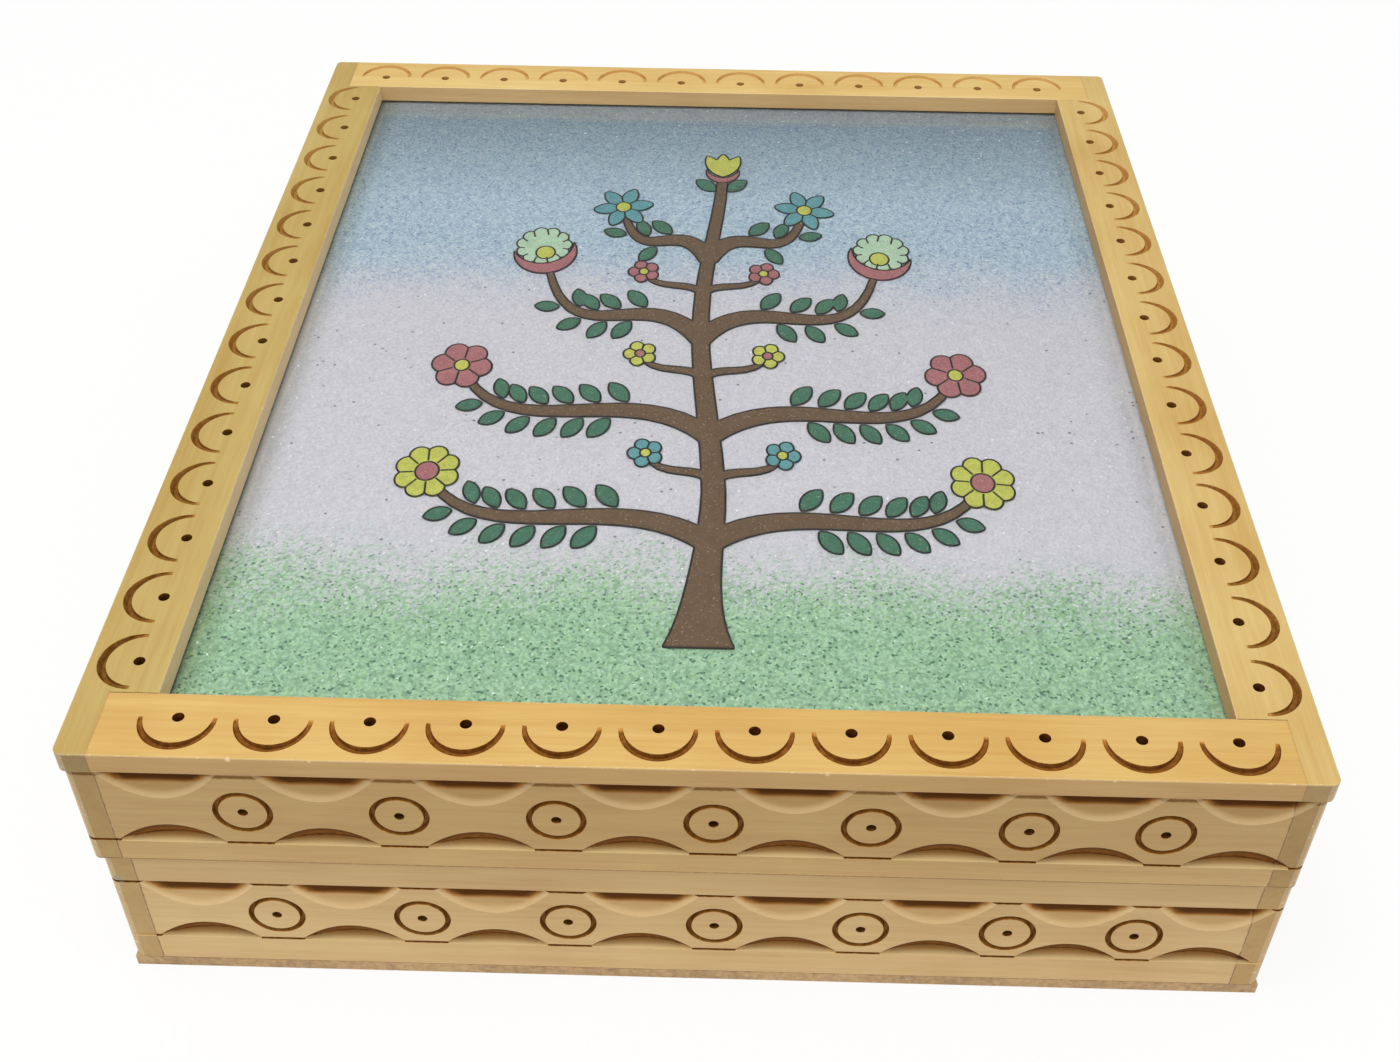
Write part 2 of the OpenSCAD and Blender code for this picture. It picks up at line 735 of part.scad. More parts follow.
// Crescent cup with two horns, which holds a fan or petals. Its outer and inner circles have
// these radii and are centred this far up, per unit of size
cup_r = 0.8;
cup_mouth_r = 0.78;
cup_up = 0.75;
cup_mouth_up = 1.1;
module cup(kind, size) {
    difference() {
        at_flowers(kind, round_line(cup_r * size, cup_up * size));
        at_flowers(kind, round_line(cup_mouth_r * size, cup_mouth_up * size));
    }
}

// Scalloped fan that sits in the cup
fan_line = lobed_line(11, 0.19 * palmette_r, 0.53 * palmette_r, 0.98 * palmette_r);
fan_heart_line = round_line(palmette_eye, 0.72 * palmette_r);

cup_share = 0.8; // size of the bell's cup against its petals
module bell() {
    difference() {
        for (a = [-26, 0, 26]) at_flowers("bell",
            [for (p = oval_line(1.45 * flower_r, 0.6 * flower_r)) [0, 0.3 * flower_r] + spun(p, a)]);
        cup("bell", cup_share * flower_r);
    }
}

module all_flowers() {
    at_flowers("daisy", daisy_line);
    at_flowers("rosette", rosette_line);
    at_flowers("star", star_line(star_r));
    at_flowers("palmette", fan_line);
    cup("palmette", palmette_r);
    bell();
    cup("bell", cup_share * flower_r);
    for (kind = sprig_flower) at_flowers(kind, bud_line);
}

module tree() {
    trunk();
    for (level = [0:len(branch_from) - 1], side = [-1, 1])
        stroke(branch(level, side), branch_w, twig_w, branch_steps);
    for (place = [0:len(sprig_from) - 1], side = [-1, 1])
        stroke(sprig(place, side), twig_w * 1.4, twig_w * 0.8, sprig_steps);
}

// Leaves in two ranks along each branch, and a pair under the topmost flower
leaf_lean = 48; // angle between a leaf and its branch
module leaves() {
    for (level = [0:len(branch_from) - 1], side = [-1, 1]) {
        p = branch(level, side);
        count = max(1, round((abs(p[3][0]) + 0.5 * tree_h * branch_rise[level]) / leaf_step) - 1);
        for (i = [1:count], rank = [-1, 1]) {
            t = 0.26 + 0.56 * (i - 0.3 * (1 + rank)) / count;
            leaf_on(p, t, rank * side, branch_width(t) / 2, 1.1 - 0.3 * t);
        }
    }
    for (side = [-1, 1]) drawn(
        [for (p = oval_line(leaf_l, leaf_breadth)) p + [0, top_leaf_gap]],
        trunk_point(0.965), 50 * side
    );
}

// One leaf beside a curve at share t of it, on the left where rank is 1
module leaf_on(p, t, rank, half, size) {
    along = heading(p, t);
    drawn(
        oval_line(size * leaf_l, size * leaf_breadth),
        bez(p, t) + toward(along + rank * 90) * (half + leaf_gap),
        along + rank * leaf_lean - 90
    );
}

// One colour of the picture as a thin layer on the back of the pane
module inlay() {
    translate([0, 0, field_top]) linear_extrude(inlay_t) children();
}

// A flower with a hole for its middle
module open_flower(kind, outline, eye) {
    difference() {
        at_flowers(kind, outline);
        at_flowers(kind, round_line(eye));
    }
}

module tree_inlay() {
    color("saddlebrown") inlay() difference() {
        tree();
        all_flowers();
    }
}

module leaf_inlays() {
    color("seagreen") inlay() difference() {
        leaves();
        tree();
        all_flowers();
    }
}

module yellow_inlays() {
    color("gold") inlay() {
        open_flower("daisy", daisy_line, daisy_eye);
        at_flowers("rosette", round_line(rosette_eye));
        at_flowers("star", round_line(star_eye));
        difference() {
            at_flowers("palmette", fan_heart_line);
            cup("palmette", palmette_r);
        }
        bell();
        open_flower("yellow_bud", bud_line, bud_eye);
        at_flowers("red_bud", round_line(bud_eye));
        at_flowers("blue_bud", round_line(bud_eye));
    }
}

module red_inlays() {
    color("indianred") inlay() {
        at_flowers("daisy", round_line(daisy_eye));
        open_flower("rosette", rosette_line, rosette_eye);
        cup("palmette", palmette_r);
        cup("bell", cup_share * flower_r);
        open_flower("red_bud", bud_line, bud_eye);
        at_flowers("yellow_bud", round_line(bud_eye));
    }
}

module blue_inlays() {
    color("steelblue") inlay() {
        open_flower("star", star_line(star_r), star_eye);
        open_flower("blue_bud", bud_line, bud_eye);
    }
}

module pale_inlays() {
    color("palegreen") inlay() difference() {
        at_flowers("palmette", fan_line);
        at_flowers("palmette", fan_heart_line);
        cup("palmette", palmette_r);
    }
}

lid_rail_front();
lid_rail_back();
lid_rail_left();
lid_rail_right();
lid_wall_front();
lid_wall_back();
lid_wall_left();
lid_wall_right();
clear_pane();
dust_field();
tree_inlay();
leaf_inlays();
yellow_inlays();
red_inlays();
blue_inlays();
pale_inlays();
lid_backing();
lid_lining();
lid_corner_nails();
left_hinge_lid_leaf();
left_hinge_lid_screws();
right_hinge_lid_leaf();
right_hinge_lid_screws();
base_wall_front();
base_wall_back();
base_wall_left();
base_wall_right();
bottom_board();
base_lining();
base_corner_nails();
bottom_nails();
left_hinge_base_leaf();
left_hinge_pin();
left_hinge_base_screws();
right_hinge_base_leaf();
right_hinge_pin();
right_hinge_base_screws();
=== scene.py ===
# Finishes of a carved wooden box with a picture under glass in its lid.
# Sizes are in millimetres unless a line says otherwise, in the box's own frame.
import json
import math

import bmesh
import bpy
from mathutils import Matrix, Vector


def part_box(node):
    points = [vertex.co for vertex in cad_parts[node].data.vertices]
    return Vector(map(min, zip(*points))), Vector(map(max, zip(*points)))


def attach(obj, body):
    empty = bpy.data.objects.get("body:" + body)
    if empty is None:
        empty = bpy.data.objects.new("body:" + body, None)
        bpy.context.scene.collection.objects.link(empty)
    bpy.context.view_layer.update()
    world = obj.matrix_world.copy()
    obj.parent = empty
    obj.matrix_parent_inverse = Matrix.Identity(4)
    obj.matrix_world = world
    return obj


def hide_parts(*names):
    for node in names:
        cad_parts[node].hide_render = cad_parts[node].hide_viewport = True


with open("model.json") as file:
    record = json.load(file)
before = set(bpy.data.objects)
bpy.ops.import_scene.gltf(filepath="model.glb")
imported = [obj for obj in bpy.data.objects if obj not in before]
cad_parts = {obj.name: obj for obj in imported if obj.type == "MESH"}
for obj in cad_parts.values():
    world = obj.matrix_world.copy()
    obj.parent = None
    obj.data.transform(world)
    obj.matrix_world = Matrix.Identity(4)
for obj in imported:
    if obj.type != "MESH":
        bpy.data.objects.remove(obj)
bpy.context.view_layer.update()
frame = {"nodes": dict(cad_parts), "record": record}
nodes = frame["nodes"]
bodies = frame["record"]["behaviour"]["bodies"]
bodyOf = {node: body for body, members in bodies.items() for node in members}
mm = 0.001
scene = bpy.context.scene
print("frame loaded:", len(nodes), "nodes")


# Small helpers for all the pieces

def colour(code):  # sRGB hex to the linear colour that a socket takes
    values = [int(code[i:i + 2], 16) / 255 for i in (1, 3, 5)]
    return [v / 12.92 if v <= 0.04045 else ((v + 0.055) / 1.055) ** 2.4 for v in values] + [1]


def addNode(tree, kind, sockets=None, out=0, ramp=None, **settings):  # one node, set and linked
    node = tree.nodes.new(kind if "Node" in kind else "ShaderNode" + kind)
    for name, value in settings.items():
        setattr(node, name, value)
    for socket, value in (sockets or {}).items():
        if isinstance(value, bpy.types.NodeSocket):
            tree.links.new(value, node.inputs[socket])
        elif isinstance(value, str) and value.startswith("#"):
            node.inputs[socket].default_value = colour(value)
        else:
            node.inputs[socket].default_value = value
    if ramp:
        points = node.color_ramp.elements
        while len(points) < len(ramp):
            points.new(1)
        for point, (place, code) in zip(points, ramp):
            point.position, point.color = place, colour(code)
    return node if out is None else node.outputs[out]


# Settings that many nodes share
mixing = {"out": 2, "data_type": "RGBA"}
multiplying = {**mixing, "blend_type": "MULTIPLY"}
smoothly = {"interpolation_type": "SMOOTHSTEP"}
times, timesPlus = {"operation": "MULTIPLY"}, {"operation": "MULTIPLY_ADD"}
toMillimetres = [1000, 1000, 1000]


def span(low, high):  # the two values between which a range node works
    return {"From Min": low, "From Max": high}


def newMaterial(name):
    material = bpy.data.materials.new(name)
    material.use_nodes = True
    material.node_tree.nodes.clear()
    return material, material.node_tree


def placesOn(tree):  # where a point lies on the box, in metres and in millimetres
    place = addNode(tree, "TexCoord", out="Object")
    return place, addNode(tree, "Mapping", {"Vector": place, "Scale": toMillimetres})


def finishMaterial(material, tree, surface):  # a shader, or what the usual one is given
    if isinstance(surface, dict):
        surface = addNode(tree, "BsdfPrincipled", surface)
    addNode(tree, "OutputMaterial", {"Surface": surface}, out=None)
    return material


def newObject(name, data):
    piece = bpy.data.objects.new(name, data)
    scene.collection.objects.link(piece)
    return piece


def placeOn(piece, body, slot, *replaced):  # attaches it to its body and hides the nodes it stands for
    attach(piece, body)
    if replaced:
        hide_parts(*replaced)


def mergedCopy(node):  # closed mesh of a node, its flat faces whole again
    bm = bmesh.new()
    bm.from_mesh(nodes[node].data)
    bmesh.ops.remove_doubles(bm, verts=bm.verts[:], dist=0.002 * mm)
    bmesh.ops.dissolve_limit(
        bm, angle_limit=math.radians(0.5), verts=bm.verts[:], edges=bm.edges[:])
    bmesh.ops.recalc_face_normals(bm, faces=bm.faces[:])
    return bm


def smoothUpTo(bm, degrees):  # smooth faces, with hard edges where the surface turns more
    for face in bm.faces:
        face.smooth = True
    for edge in bm.edges:
        edge.smooth = len(edge.link_faces) == 2 and edge.calc_face_angle() < math.radians(degrees)


# Camera: it stands above the front edge and looks down across the lid

cameraView = {
    "place": (3.575, -295.665, 259.871),
    "look": (-0.012826, 0.752666, -0.658278),
    "up": (-0.022601, 0.657945, 0.752726),
    "lens": 43.27,
    "sensor": 36,
}


def makeCamera(view):
    data = bpy.data.cameras.new("camera")
    data.lens = view["lens"]
    data.sensor_width = view["sensor"]
    camera = newObject("camera", data)
    back = -Vector(view["look"]).normalized()
    right = Vector(view["up"]).cross(back).normalized()
    turn = Matrix((right, back.cross(right), back)).transposed()
    camera.matrix_world = Matrix.Translation(Vector(view["place"]) * mm) @ turn.to_4x4()
    scene.camera = camera


makeCamera(cameraView)


# Studio: a pale floor, a soft lamp to the left and an even sky

studio = {
    "floorSize": 6000,
    "floor": "#F4F4F4",
    "floorWhite": 0.88,  # share of plain white that the camera sees on the floor
    "sky": 0.74,
    "mirrored": 0.15,  # the sky as glass and lacquer mirror it
    "lamp": {"place": (-130, -230, 950), "size": 450, "power": 4.4, "colour": "#FFFAF2"},
    "fill": {"place": (60, -1400, 400), "size": 900, "power": 1.0, "colour": "#F4F8FF"},
}


def makeSky():  # white to the camera, dim in what glass and metal mirror, and even in its light
    world = bpy.data.worlds.new("sky")
    scene.world = world
    world.use_nodes = True
    tree = world.node_tree
    tree.nodes.clear()
    path = addNode(tree, "LightPath", out=None)
    plain, white, dim = [addNode(tree, "Background", {"Color": "#FFFFFF", "Strength": strength})
                         for strength in (studio["sky"], 1.0, studio["mirrored"])]
    bent = addNode(tree, "Math", {
        0: path.outputs["Is Glossy Ray"], 1: path.outputs["Is Transmission Ray"]},
        operation="MAXIMUM")
    firstHand = addNode(tree, "Math", {
        0: path.outputs["Diffuse Depth"], 1: 0.5}, operation="LESS_THAN")
    mirror = addNode(tree, "Math", {0: bent, 1: firstHand}, **times)
    lighting = addNode(tree, "MixShader", {0: mirror, 1: plain, 2: dim})
    mixed = addNode(tree, "MixShader", {0: path.outputs["Is Camera Ray"], 1: lighting, 2: white})
    addNode(tree, "OutputWorld", {"Surface": mixed}, out=None)


def makeFloor():
    half = studio["floorSize"] * mm / 2
    mesh = bpy.data.meshes.new("floor")
    corners = [(-half, -half, 0), (half, -half, 0), (half, half, 0), (-half, half, 0)]
    mesh.from_pydata(corners, [], [(0, 1, 2, 3)])
    floor = newObject("floor", mesh)
    material, tree = newMaterial("paintedPaperFloor")
    paper = addNode(tree, "BsdfDiffuse", {"Color": studio["floor"]})
    white = addNode(tree, "Emission", {"Color": "#FFFFFF", "Strength": 1.0})
    seen = addNode(tree, "LightPath", out="Is Camera Ray")
    share = addNode(tree, "Math", {0: seen, 1: studio["floorWhite"]}, **times)
    mixed = addNode(tree, "MixShader", {0: share, 1: paper, 2: white})
    mesh.materials.append(finishMaterial(material, tree, mixed))


def makeLamp(name, spec):
    data = bpy.data.lights.new(name, "AREA")
    data.size = spec["size"] * mm
    data.energy = spec["power"]
    data.color = colour(spec["colour"])[:3]
    lamp = newObject(name, data)
    place = Vector(spec["place"]) * mm
    turn = place.to_track_quat("Z", "Y").to_matrix().to_4x4()
    lamp.matrix_world = Matrix.Translation(place) @ turn


makeSky()
makeFloor()
makeLamp("lamp", studio["lamp"])
makeLamp("fill", studio["fill"])
scene.view_settings.view_transform = "Standard"
print("camera, sky, floor and lamps made")


# Wood: haldu, a pale yellow close-grained hardwood, sawn, sanded and thinly lacquered.
# It gives fine streaks along the grain and no open pores; its golden top is painted light, and its
# paler edges are partly wear and partly painted highlight.

haldu = {
    # the top tones are paler and warmer than the side tones: painted light on faces that look up
    "sideDark": "#C29E68", "sideLight": "#D6B883",
    "topDark": "#D0AC62", "topLight": "#E4CC87",
    "endTint": "#E6E3D6",  # end grain is greyer and drinks in more lacquer
    "openingLitTone": "#F6DCAA", "ledgeLitTone": "#F6DDA6",  # painted light on the rails' inner faces round the picture, and on the ledges
    "lipHighlightTone": "#FBE3B4", "lipPale": 0.3, "lipDepth": (0.7, 0.15),  # painted highlight on the lower lips of the upper scoops
    "rimWearAndHighlightTone": "#FFF0CE", "rimPale": 0.14, "rimChipped": 0.5,  # rubbed edges and their chips, paler as wear and as painted highlight
    "layers": {  # of the figure: size across the grain, share, whether it runs along it, noise
        "broad": (28, 0.30, False, {"Detail": 2.0}),
        "bands": (7, 0.30, True, {"Detail": 3.0, "Distortion": 0.6}),
        "streaks": (1.1, 0.26, True, {"Detail": 3.0, "Roughness": 0.6}),
        "fibres": (0.28, 0.14, True, {"Detail": 2.0}),
    },
    "dark": 0.36, "light": 0.62,  # where the sum of the layers is darkest and palest
    "along": 26,                  # how many times longer the figure is along the grain
    "shift": (17.3, -9.1, 5.7),   # each piece shows another part of the figure
    "top": (0.15, 0.85), "end": (0.6, 0.9),  # how far a face turns before it counts as one
    "chips": (0.6, 0.72),         # where the noise chips a rubbed edge
    "bump": 0.05, "polished": 0.42, "dull": 0.58,
    "gloss": 0.5, "mattGloss": 0.08, "matt": 0.6,  # the seam lines, scorch and painted shade take the lacquer's shine away
}

# The cutter scorched its grooves brown in the rings; the saw lines, the scoops' undersides and the
# upper scoops under the slab are painted shade, the ledges get scorch and painted shade, and the
# scoops fade to gold and cream
scorchAndShadeSteps = [
    (0.0, "#FFFFFF"), (0.25, "#F3DDBC"), (0.5, "#D2B086"), (0.75, "#A6835B"), (1.0, "#6B4D33")]
scorchAndShade = {  # how strong the scorch and painted shade are, and for scoops the depths where they begin and are full
    # scorch in the dots, rings and arcs, and painted shade in the saw lines
    "dot": 0.9, "ring": 0.7, "arc": 0.8, "sawLine": 0.85,
    "ledge": {"cut": 0.5, "cutFrom": 0.3, "cutTo": 2.9, "fresh": 0.75},  # the ledges are painted paler, as painted light on faces that look up
    "upper": {"cut": 0.95, "cutFrom": 0.2, "cutTo": 1.1, "groove": 0.06, "asWall": 1.0},
    "under": {"cut": 0.95, "cutFrom": 3.2, "cutTo": 0.3, "groove": 0.8},
    "upperDrop": (3.2, 1.7), "upperSlant": 0.9,  # the slab's painted shadow in the upper scoops reaches down to here
    "lip": 0.14, "lipFade": 0.2, "lipShare": 0.3,  # a cut's upper edge stays paler: rubbed wear, and painted highlight where a rounded lip would catch light
    "ragged": 0.4, "uneven": (0.85, 1.15), "dull": 0.25,
    "far": 0.25,  # share of the scorch at the back of the frame, painted paler there for the light that washes over the far grooves
}

# Outer side faces are darker toward the lid, and the slab's outer edges darker than its top as painted
# shade: share of the box's height and tint
wallTones = [(0.05, "#FFFFFF"), (0.28, "#F7F7F5"), (0.47, "#ECEBE6"), (0.57, "#EAE8E0"),
             (0.64, "#DEDBCE"), (0.9, "#DBD7C6"), (0.94, "#E7EBE8")]
boxHeight = 58

# Painted shadow lies in lines along the seams, under the slab and between lid and base, and dirt lies
# in thin cracks where a piece meets its neighbour
seamShadows = [(31.3, 0.26), (52.95, 0.5)]  # height and half width of each line
seamShadowsAndGrime = {
    # painted shadow lines at the seams; the cracks are dirt in the joints
    "seam": {"tone": "#6A4520", "strength": 0.85, "matt": True},
    "wallCrack": {"tone": "#6B4A28", "strength": 0.75, "matt": False},
    "frameCrack": {"tone": "#6B4A28", "strength": 0.12, "matt": False},
    "crackWidth": 0.5,
}

# Small marks of use: their middle, their radius in millimetres, their colour and their strength
markFade = 1.4
marks = {
    "base_wall_left": [((-98.3, -120.8, 24.9), 1.3, "#958F76", 0.75)],  # a smear of glue
    "lid_rail_front": [((-73.4, -121.8, 57.7), 0.6, "#F3DDB0", 0.6),  # chips on the edge
                       ((-60.5, -121.8, 57.7), 0.4, "#E8CC96", 0.5),
                       ((21.0, -121.8, 57.7), 0.5, "#E8CC96", 0.5),
                       ((66.0, -121.8, 57.7), 0.4, "#E8CC96", 0.5)],
}

# What the material reads from each face and, for the last two, from each corner of a face
faceTold = ("rim", "groove", "cut", "cutFrom", "cutTo", "fresh", "outside", "opening", "asWall")
cornerTold = ("depth", "drop")


def figuredWood(tree, place, grain, seed, asWall):  # the layers of the figure, and their tone
    shift = [step * seed for step in haldu["shift"]]
    stretched = [1000 / haldu["along"] if axis == grain else 1000 for axis in range(3)]
    even, inGrain = [addNode(tree, "Mapping", {
        "Vector": place.outputs["Object"], "Location": shift, "Scale": scale})
        for scale in (toMillimetres, stretched)]
    wood, figure = {}, 0.0
    for name, (size, share, runs, noise) in haldu["layers"].items():
        wood[name] = addNode(tree, "TexNoise", {
            "Vector": inGrain if runs else even, "Scale": 1 / size, **noise})
        figure = addNode(tree, "Math", {0: wood[name], 1: share, 2: figure}, **timesPlus)
    wood["rough"] = addNode(tree, "TexNoise", {
        "Vector": even, "Scale": 0.9, "Detail": 3.0, "Roughness": 0.6})
    sideTone, litTopTone = [addNode(tree, "ValToRGB", {"Fac": figure}, ramp=[
        (haldu["dark"], haldu[side + "Dark"]), (haldu["light"], haldu[side + "Light"])])
        for side in ("side", "top")]

    # Faces that look up get a warmer, paler tone as painted light, and faces across the grain show end
    # grain
    facing = addNode(tree, "SeparateXYZ", {0: place.outputs["Normal"]}, out=None)
    isTop = addNode(tree, "MapRange", {
        "Value": facing.outputs["Z"], **span(*haldu["top"])}, **smoothly)
    notScoop = addNode(tree, "Math", {0: 1.0, 1: asWall}, operation="SUBTRACT")
    isTop = addNode(tree, "Math", {0: isTop, 1: notScoop}, **times)
    tone = addNode(tree, "Mix", {0: isTop, 6: sideTone, 7: litTopTone}, **mixing)
    across = addNode(tree, "Math", {0: facing.outputs["XYZ"[grain]]}, operation="ABSOLUTE")
    isEnd = addNode(tree, "MapRange", {"Value": across, **span(*haldu["end"])})
    wood["tone"] = addNode(tree, "Mix", {0: isEnd, 6: tone, 7: haldu["endTint"]}, **multiplying)
    return wood


def shadedGrimyWood(tree, wood, at, grain, isWall, joints):  # returns the tone with painted seam shadows and dirty cracks, and where it is matt
    tone, matt = wood["tone"], 0.0
    wide, crack = seamShadowsAndGrime["crackWidth"], seamShadowsAndGrime["wallCrack" if isWall else "frameCrack"]
    lines = [("Z", middle * mm, 0.9 * half, 1.6 * half, 0.9 * half, seamShadowsAndGrime["seam"])
             for middle, half in seamShadows if isWall]
    lines += [("XYZ"[grain], end, wide, 1.2 * wide, 0.8 * wide, crack) for end in joints]
    for axis, middle, ragged, start, full, shadeAndDirt in lines:
        off = addNode(tree, "Math", {0: at.outputs[axis], 1: middle}, operation="SUBTRACT")
        away = addNode(tree, "Math", {0: off}, operation="ABSOLUTE")
        away = addNode(tree, "Math", {0: wood["rough"], 1: ragged * mm, 2: away}, **timesPlus)
        share = addNode(tree, "MapRange", {
            "Value": away, **span(start * mm, full * mm), "To Max": shadeAndDirt["strength"]})
        tone = addNode(tree, "Mix", {0: share, 6: tone, 7: shadeAndDirt["tone"]}, **mixing)
        if shadeAndDirt["matt"]:
            matt = addNode(tree, "Math", {0: share, 1: matt}, operation="MAXIMUM")
    return tone, matt


def scorchAndShadeOf(tree, wood, told):  # how far each cut face is darkened by scorch and painted shade, by how deep it lies
    ragged = addNode(tree, "Math", {
        0: wood["rough"], 1: scorchAndShade["ragged"], 2: told["depth"]}, **timesPlus)
    under = addNode(tree, "Math", {0: ragged, 1: scorchAndShade["ragged"] / 2}, operation="SUBTRACT")
    ledgeDarkening = addNode(tree, "MapRange", {
        "Value": under, **span(told["cutFrom"], told["cutTo"]), "To Max": told["cut"]}, **smoothly)
    # painted shadow of the slab over the upper scoops
    hidden = addNode(tree, "MapRange", {
        "Value": told["drop"], **span(*scorchAndShade["upperDrop"])}, **smoothly)
    ledgeDarkening = addNode(tree, "Math", {0: ledgeDarkening, 1: hidden}, **times)
    uneven = addNode(tree, "MapRange", {
        "Value": wood["rough"], **span(0.3, 0.7),
        "To Min": scorchAndShade["uneven"][0], "To Max": scorchAndShade["uneven"][1]})
    grooveDarkening = addNode(tree, "Math", {0: uneven, 1: told["groove"]}, **times)
    belowLip = addNode(tree, "MapRange", {
        "Value": ragged, **span(scorchAndShade["lip"], scorchAndShade["lip"] + scorchAndShade["lipFade"]),
        "To Min": scorchAndShade["lipShare"]})
    grooveDarkening = addNode(tree, "Math", {0: grooveDarkening, 1: belowLip}, **times)
    return addNode(tree, "Math", {0: ledgeDarkening, 1: grooveDarkening}, operation="MAXIMUM")


def makeWood(name, grain, seed, tint, bare, isWall, joints, marked):
    material, tree = newMaterial(name)
    place = addNode(tree, "TexCoord", out=None)
    at = addNode(tree, "SeparateXYZ", {0: place.outputs["Object"]}, out=None)
    told = {key: addNode(tree, "Attribute", out="Fac", attribute_name=key)
            for key in faceTold + cornerTold}
    wood = figuredWood(tree, place, grain, seed, told["asWall"])
    tone = addNode(tree, "Mix", {0: 1.0, 6: wood["tone"], 7: tint}, **multiplying)
    height = addNode(tree, "Math", {0: at.outputs["Z"], 1: 1000 / boxHeight}, **times)
    # outer side faces take darker tones toward the lid: painted shade on the slab's edges
    wallTone = addNode(tree, "ValToRGB", {"Fac": height}, ramp=wallTones)
    tone = addNode(tree, "Mix", {0: told["outside"], 6: tone, 7: wallTone}, **multiplying)
    # painted light on the rails' inner faces round the picture
    opening = addNode(tree, "Math", {0: told["opening"], 1: bare}, **times)
    wood["tone"] = addNode(tree, "Mix", {0: opening, 6: tone, 7: haldu["openingLitTone"]}, **mixing)
    tone, matt = shadedGrimyWood(tree, wood, at, grain, isWall, joints)

    # Rubbed edges are paler as wear and painted highlight, the ledges as painted light, and the lips
    # of the upper scoops as painted highlight
    chipped = addNode(tree, "MapRange", {
        "Value": wood["rough"], **span(*haldu["chips"]),
        "To Min": haldu["rimPale"], "To Max": haldu["rimChipped"]})
    rim = addNode(tree, "Math", {0: told["rim"], 1: chipped}, **times)
    lip = addNode(tree, "MapRange", {
        "Value": told["depth"], **span(*haldu["lipDepth"]),
        "To Max": haldu["lipPale"]}, **smoothly)
    lip = addNode(tree, "Math", {0: lip, 1: told["asWall"]}, **times)
    for share, pale in ((rim, "rimWearAndHighlightTone"), (told["fresh"], "ledgeLitTone"), (lip, "lipHighlightTone")):
        tone = addNode(tree, "Mix", {0: share, 6: tone, 7: haldu[pale]}, **mixing)

    # scorch and painted shade darken the cuts
    darkening = scorchAndShadeOf(tree, wood, told)
    darkeningTone = addNode(tree, "ValToRGB", {"Fac": darkening}, ramp=scorchAndShadeSteps)
    tone = addNode(tree, "Mix", {0: 1.0, 6: tone, 7: darkeningTone}, **multiplying)
    for middle, radius, code, strength in marked:
        away = addNode(tree, "VectorMath", {
            0: place.outputs["Object"], 1: [v * mm for v in middle]},
            out="Value", operation="DISTANCE")
        away = addNode(tree, "Math", {0: wood["rough"], 1: radius * mm, 2: away}, **timesPlus)
        spot = addNode(tree, "MapRange", {
            "Value": away, **span(radius * markFade * mm, radius * mm),
            "To Max": strength})
        tone = addNode(tree, "Mix", {0: spot, 6: tone, 7: code}, **mixing)

    relief = addNode(tree, "Math", {0: wood["streaks"], 1: wood["fibres"]}, operation="ADD")
    fuzz = addNode(tree, "Math", {0: wood["rough"], 1: darkening, 2: relief}, **timesPlus)
    bump = addNode(tree, "Bump", {"Strength": 0.5, "Distance": haldu["bump"] * mm, "Height": fuzz})
    sheen = addNode(tree, "MapRange", {
        "Value": wood["bands"], "To Min": haldu["polished"], "To Max": haldu["dull"]})
    dull = addNode(tree, "Math", {0: darkening, 1: scorchAndShade["dull"], 2: sheen}, **timesPlus)
    matt = addNode(tree, "Math", {0: darkening, 1: matt}, operation="MAXIMUM")
    gloss = addNode(tree, "MapRange", {
        "Value": matt, "From Max": haldu["matt"],
        "To Min": haldu["gloss"], "To Max": haldu["mattGloss"]})
    return finishMaterial(material, tree, {
        "Base Color": tone, "Roughness": dull, "Normal": bump, "IOR": 1.45,
        "Specular IOR Level": gloss})


# Carved pieces: each keeps its node's shape, with its outer edges rubbed round

rubbed = {"edge": (0.24, 3), "corner": (1.8, 6), "seam": (0.07, 1)}  # radius and steps
faceKinds = {"plain": 0, "dot": 1, "ring": 2, "arc": 3, "scoop": 4, "rubbed": 5, "sawLine": 6}
touching = 0.02 * mm
level, upright = 0.999, 0.001  # how far a normal leans up on flats and on walls
dotSize, ringSize = 3 * mm, 12 * mm  # wider cuts in the walls are scoops and saw lines
throughDepth = 4.5 * mm  # faces deeper than this are a wall's inside, not a cut
sawLine = {"height": 0.8 * mm, "depth": 1.1 * mm}  # a little more than its own, to find its floor


def outerPlanes(left, right):  # a ring of walls or rails: its middle and its half sizes
    low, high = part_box(left)[0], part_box(right)[1]
    return {"middle": (low.x + high.x) / 2, "x": (high.x - low.x) / 2, "y": high.y}


def inward(ring, point):  # how far a point lies inside the ring's side faces and its end faces
    return ring["x"] - abs(point.x - ring["middle"]), ring["y"] - abs(point.y)


def cutDepth(ring, piece, normal, point):  # how far a point lies under the face carved there
    fromSide, fromEnd = inward(ring, point)
    if piece["carved"] == "top":
        return piece["high"].z - point.z
    if piece["carved"] == "ends":
        return fromEnd
    if abs(normal.z) > level:
        return min(fromSide, fromEnd)
    return fromEnd if abs(normal.y) > abs(normal.x) else fromSide


def isPlain(ring, piece, face):  # on one of the flat faces that the piece was sawn to
    normal, centre = face.normal, face.calc_center_median()
    axis = max(range(3), key=lambda i: abs(normal[i]))
    if abs(normal[axis]) < 0.9995:
        return False
    atBounds = min(centre[axis] - piece["low"][axis], piece["high"][axis] - centre[axis]) < touching
    return atBounds or cutDepth(ring, piece, normal, centre) > throughDepth


def cutGroups(bm, plain):  # faces of each separate cut
    left = {face for face in bm.faces if face not in plain}
    while left:
        group, fresh = set(), [left.pop()]
        while fresh:
            face = fresh.pop()
            group.add(face)
            for edge in face.edges:
                for near in edge.link_faces:
                    if near in left:
                        left.remove(near)
                        fresh.append(near)
        yield group


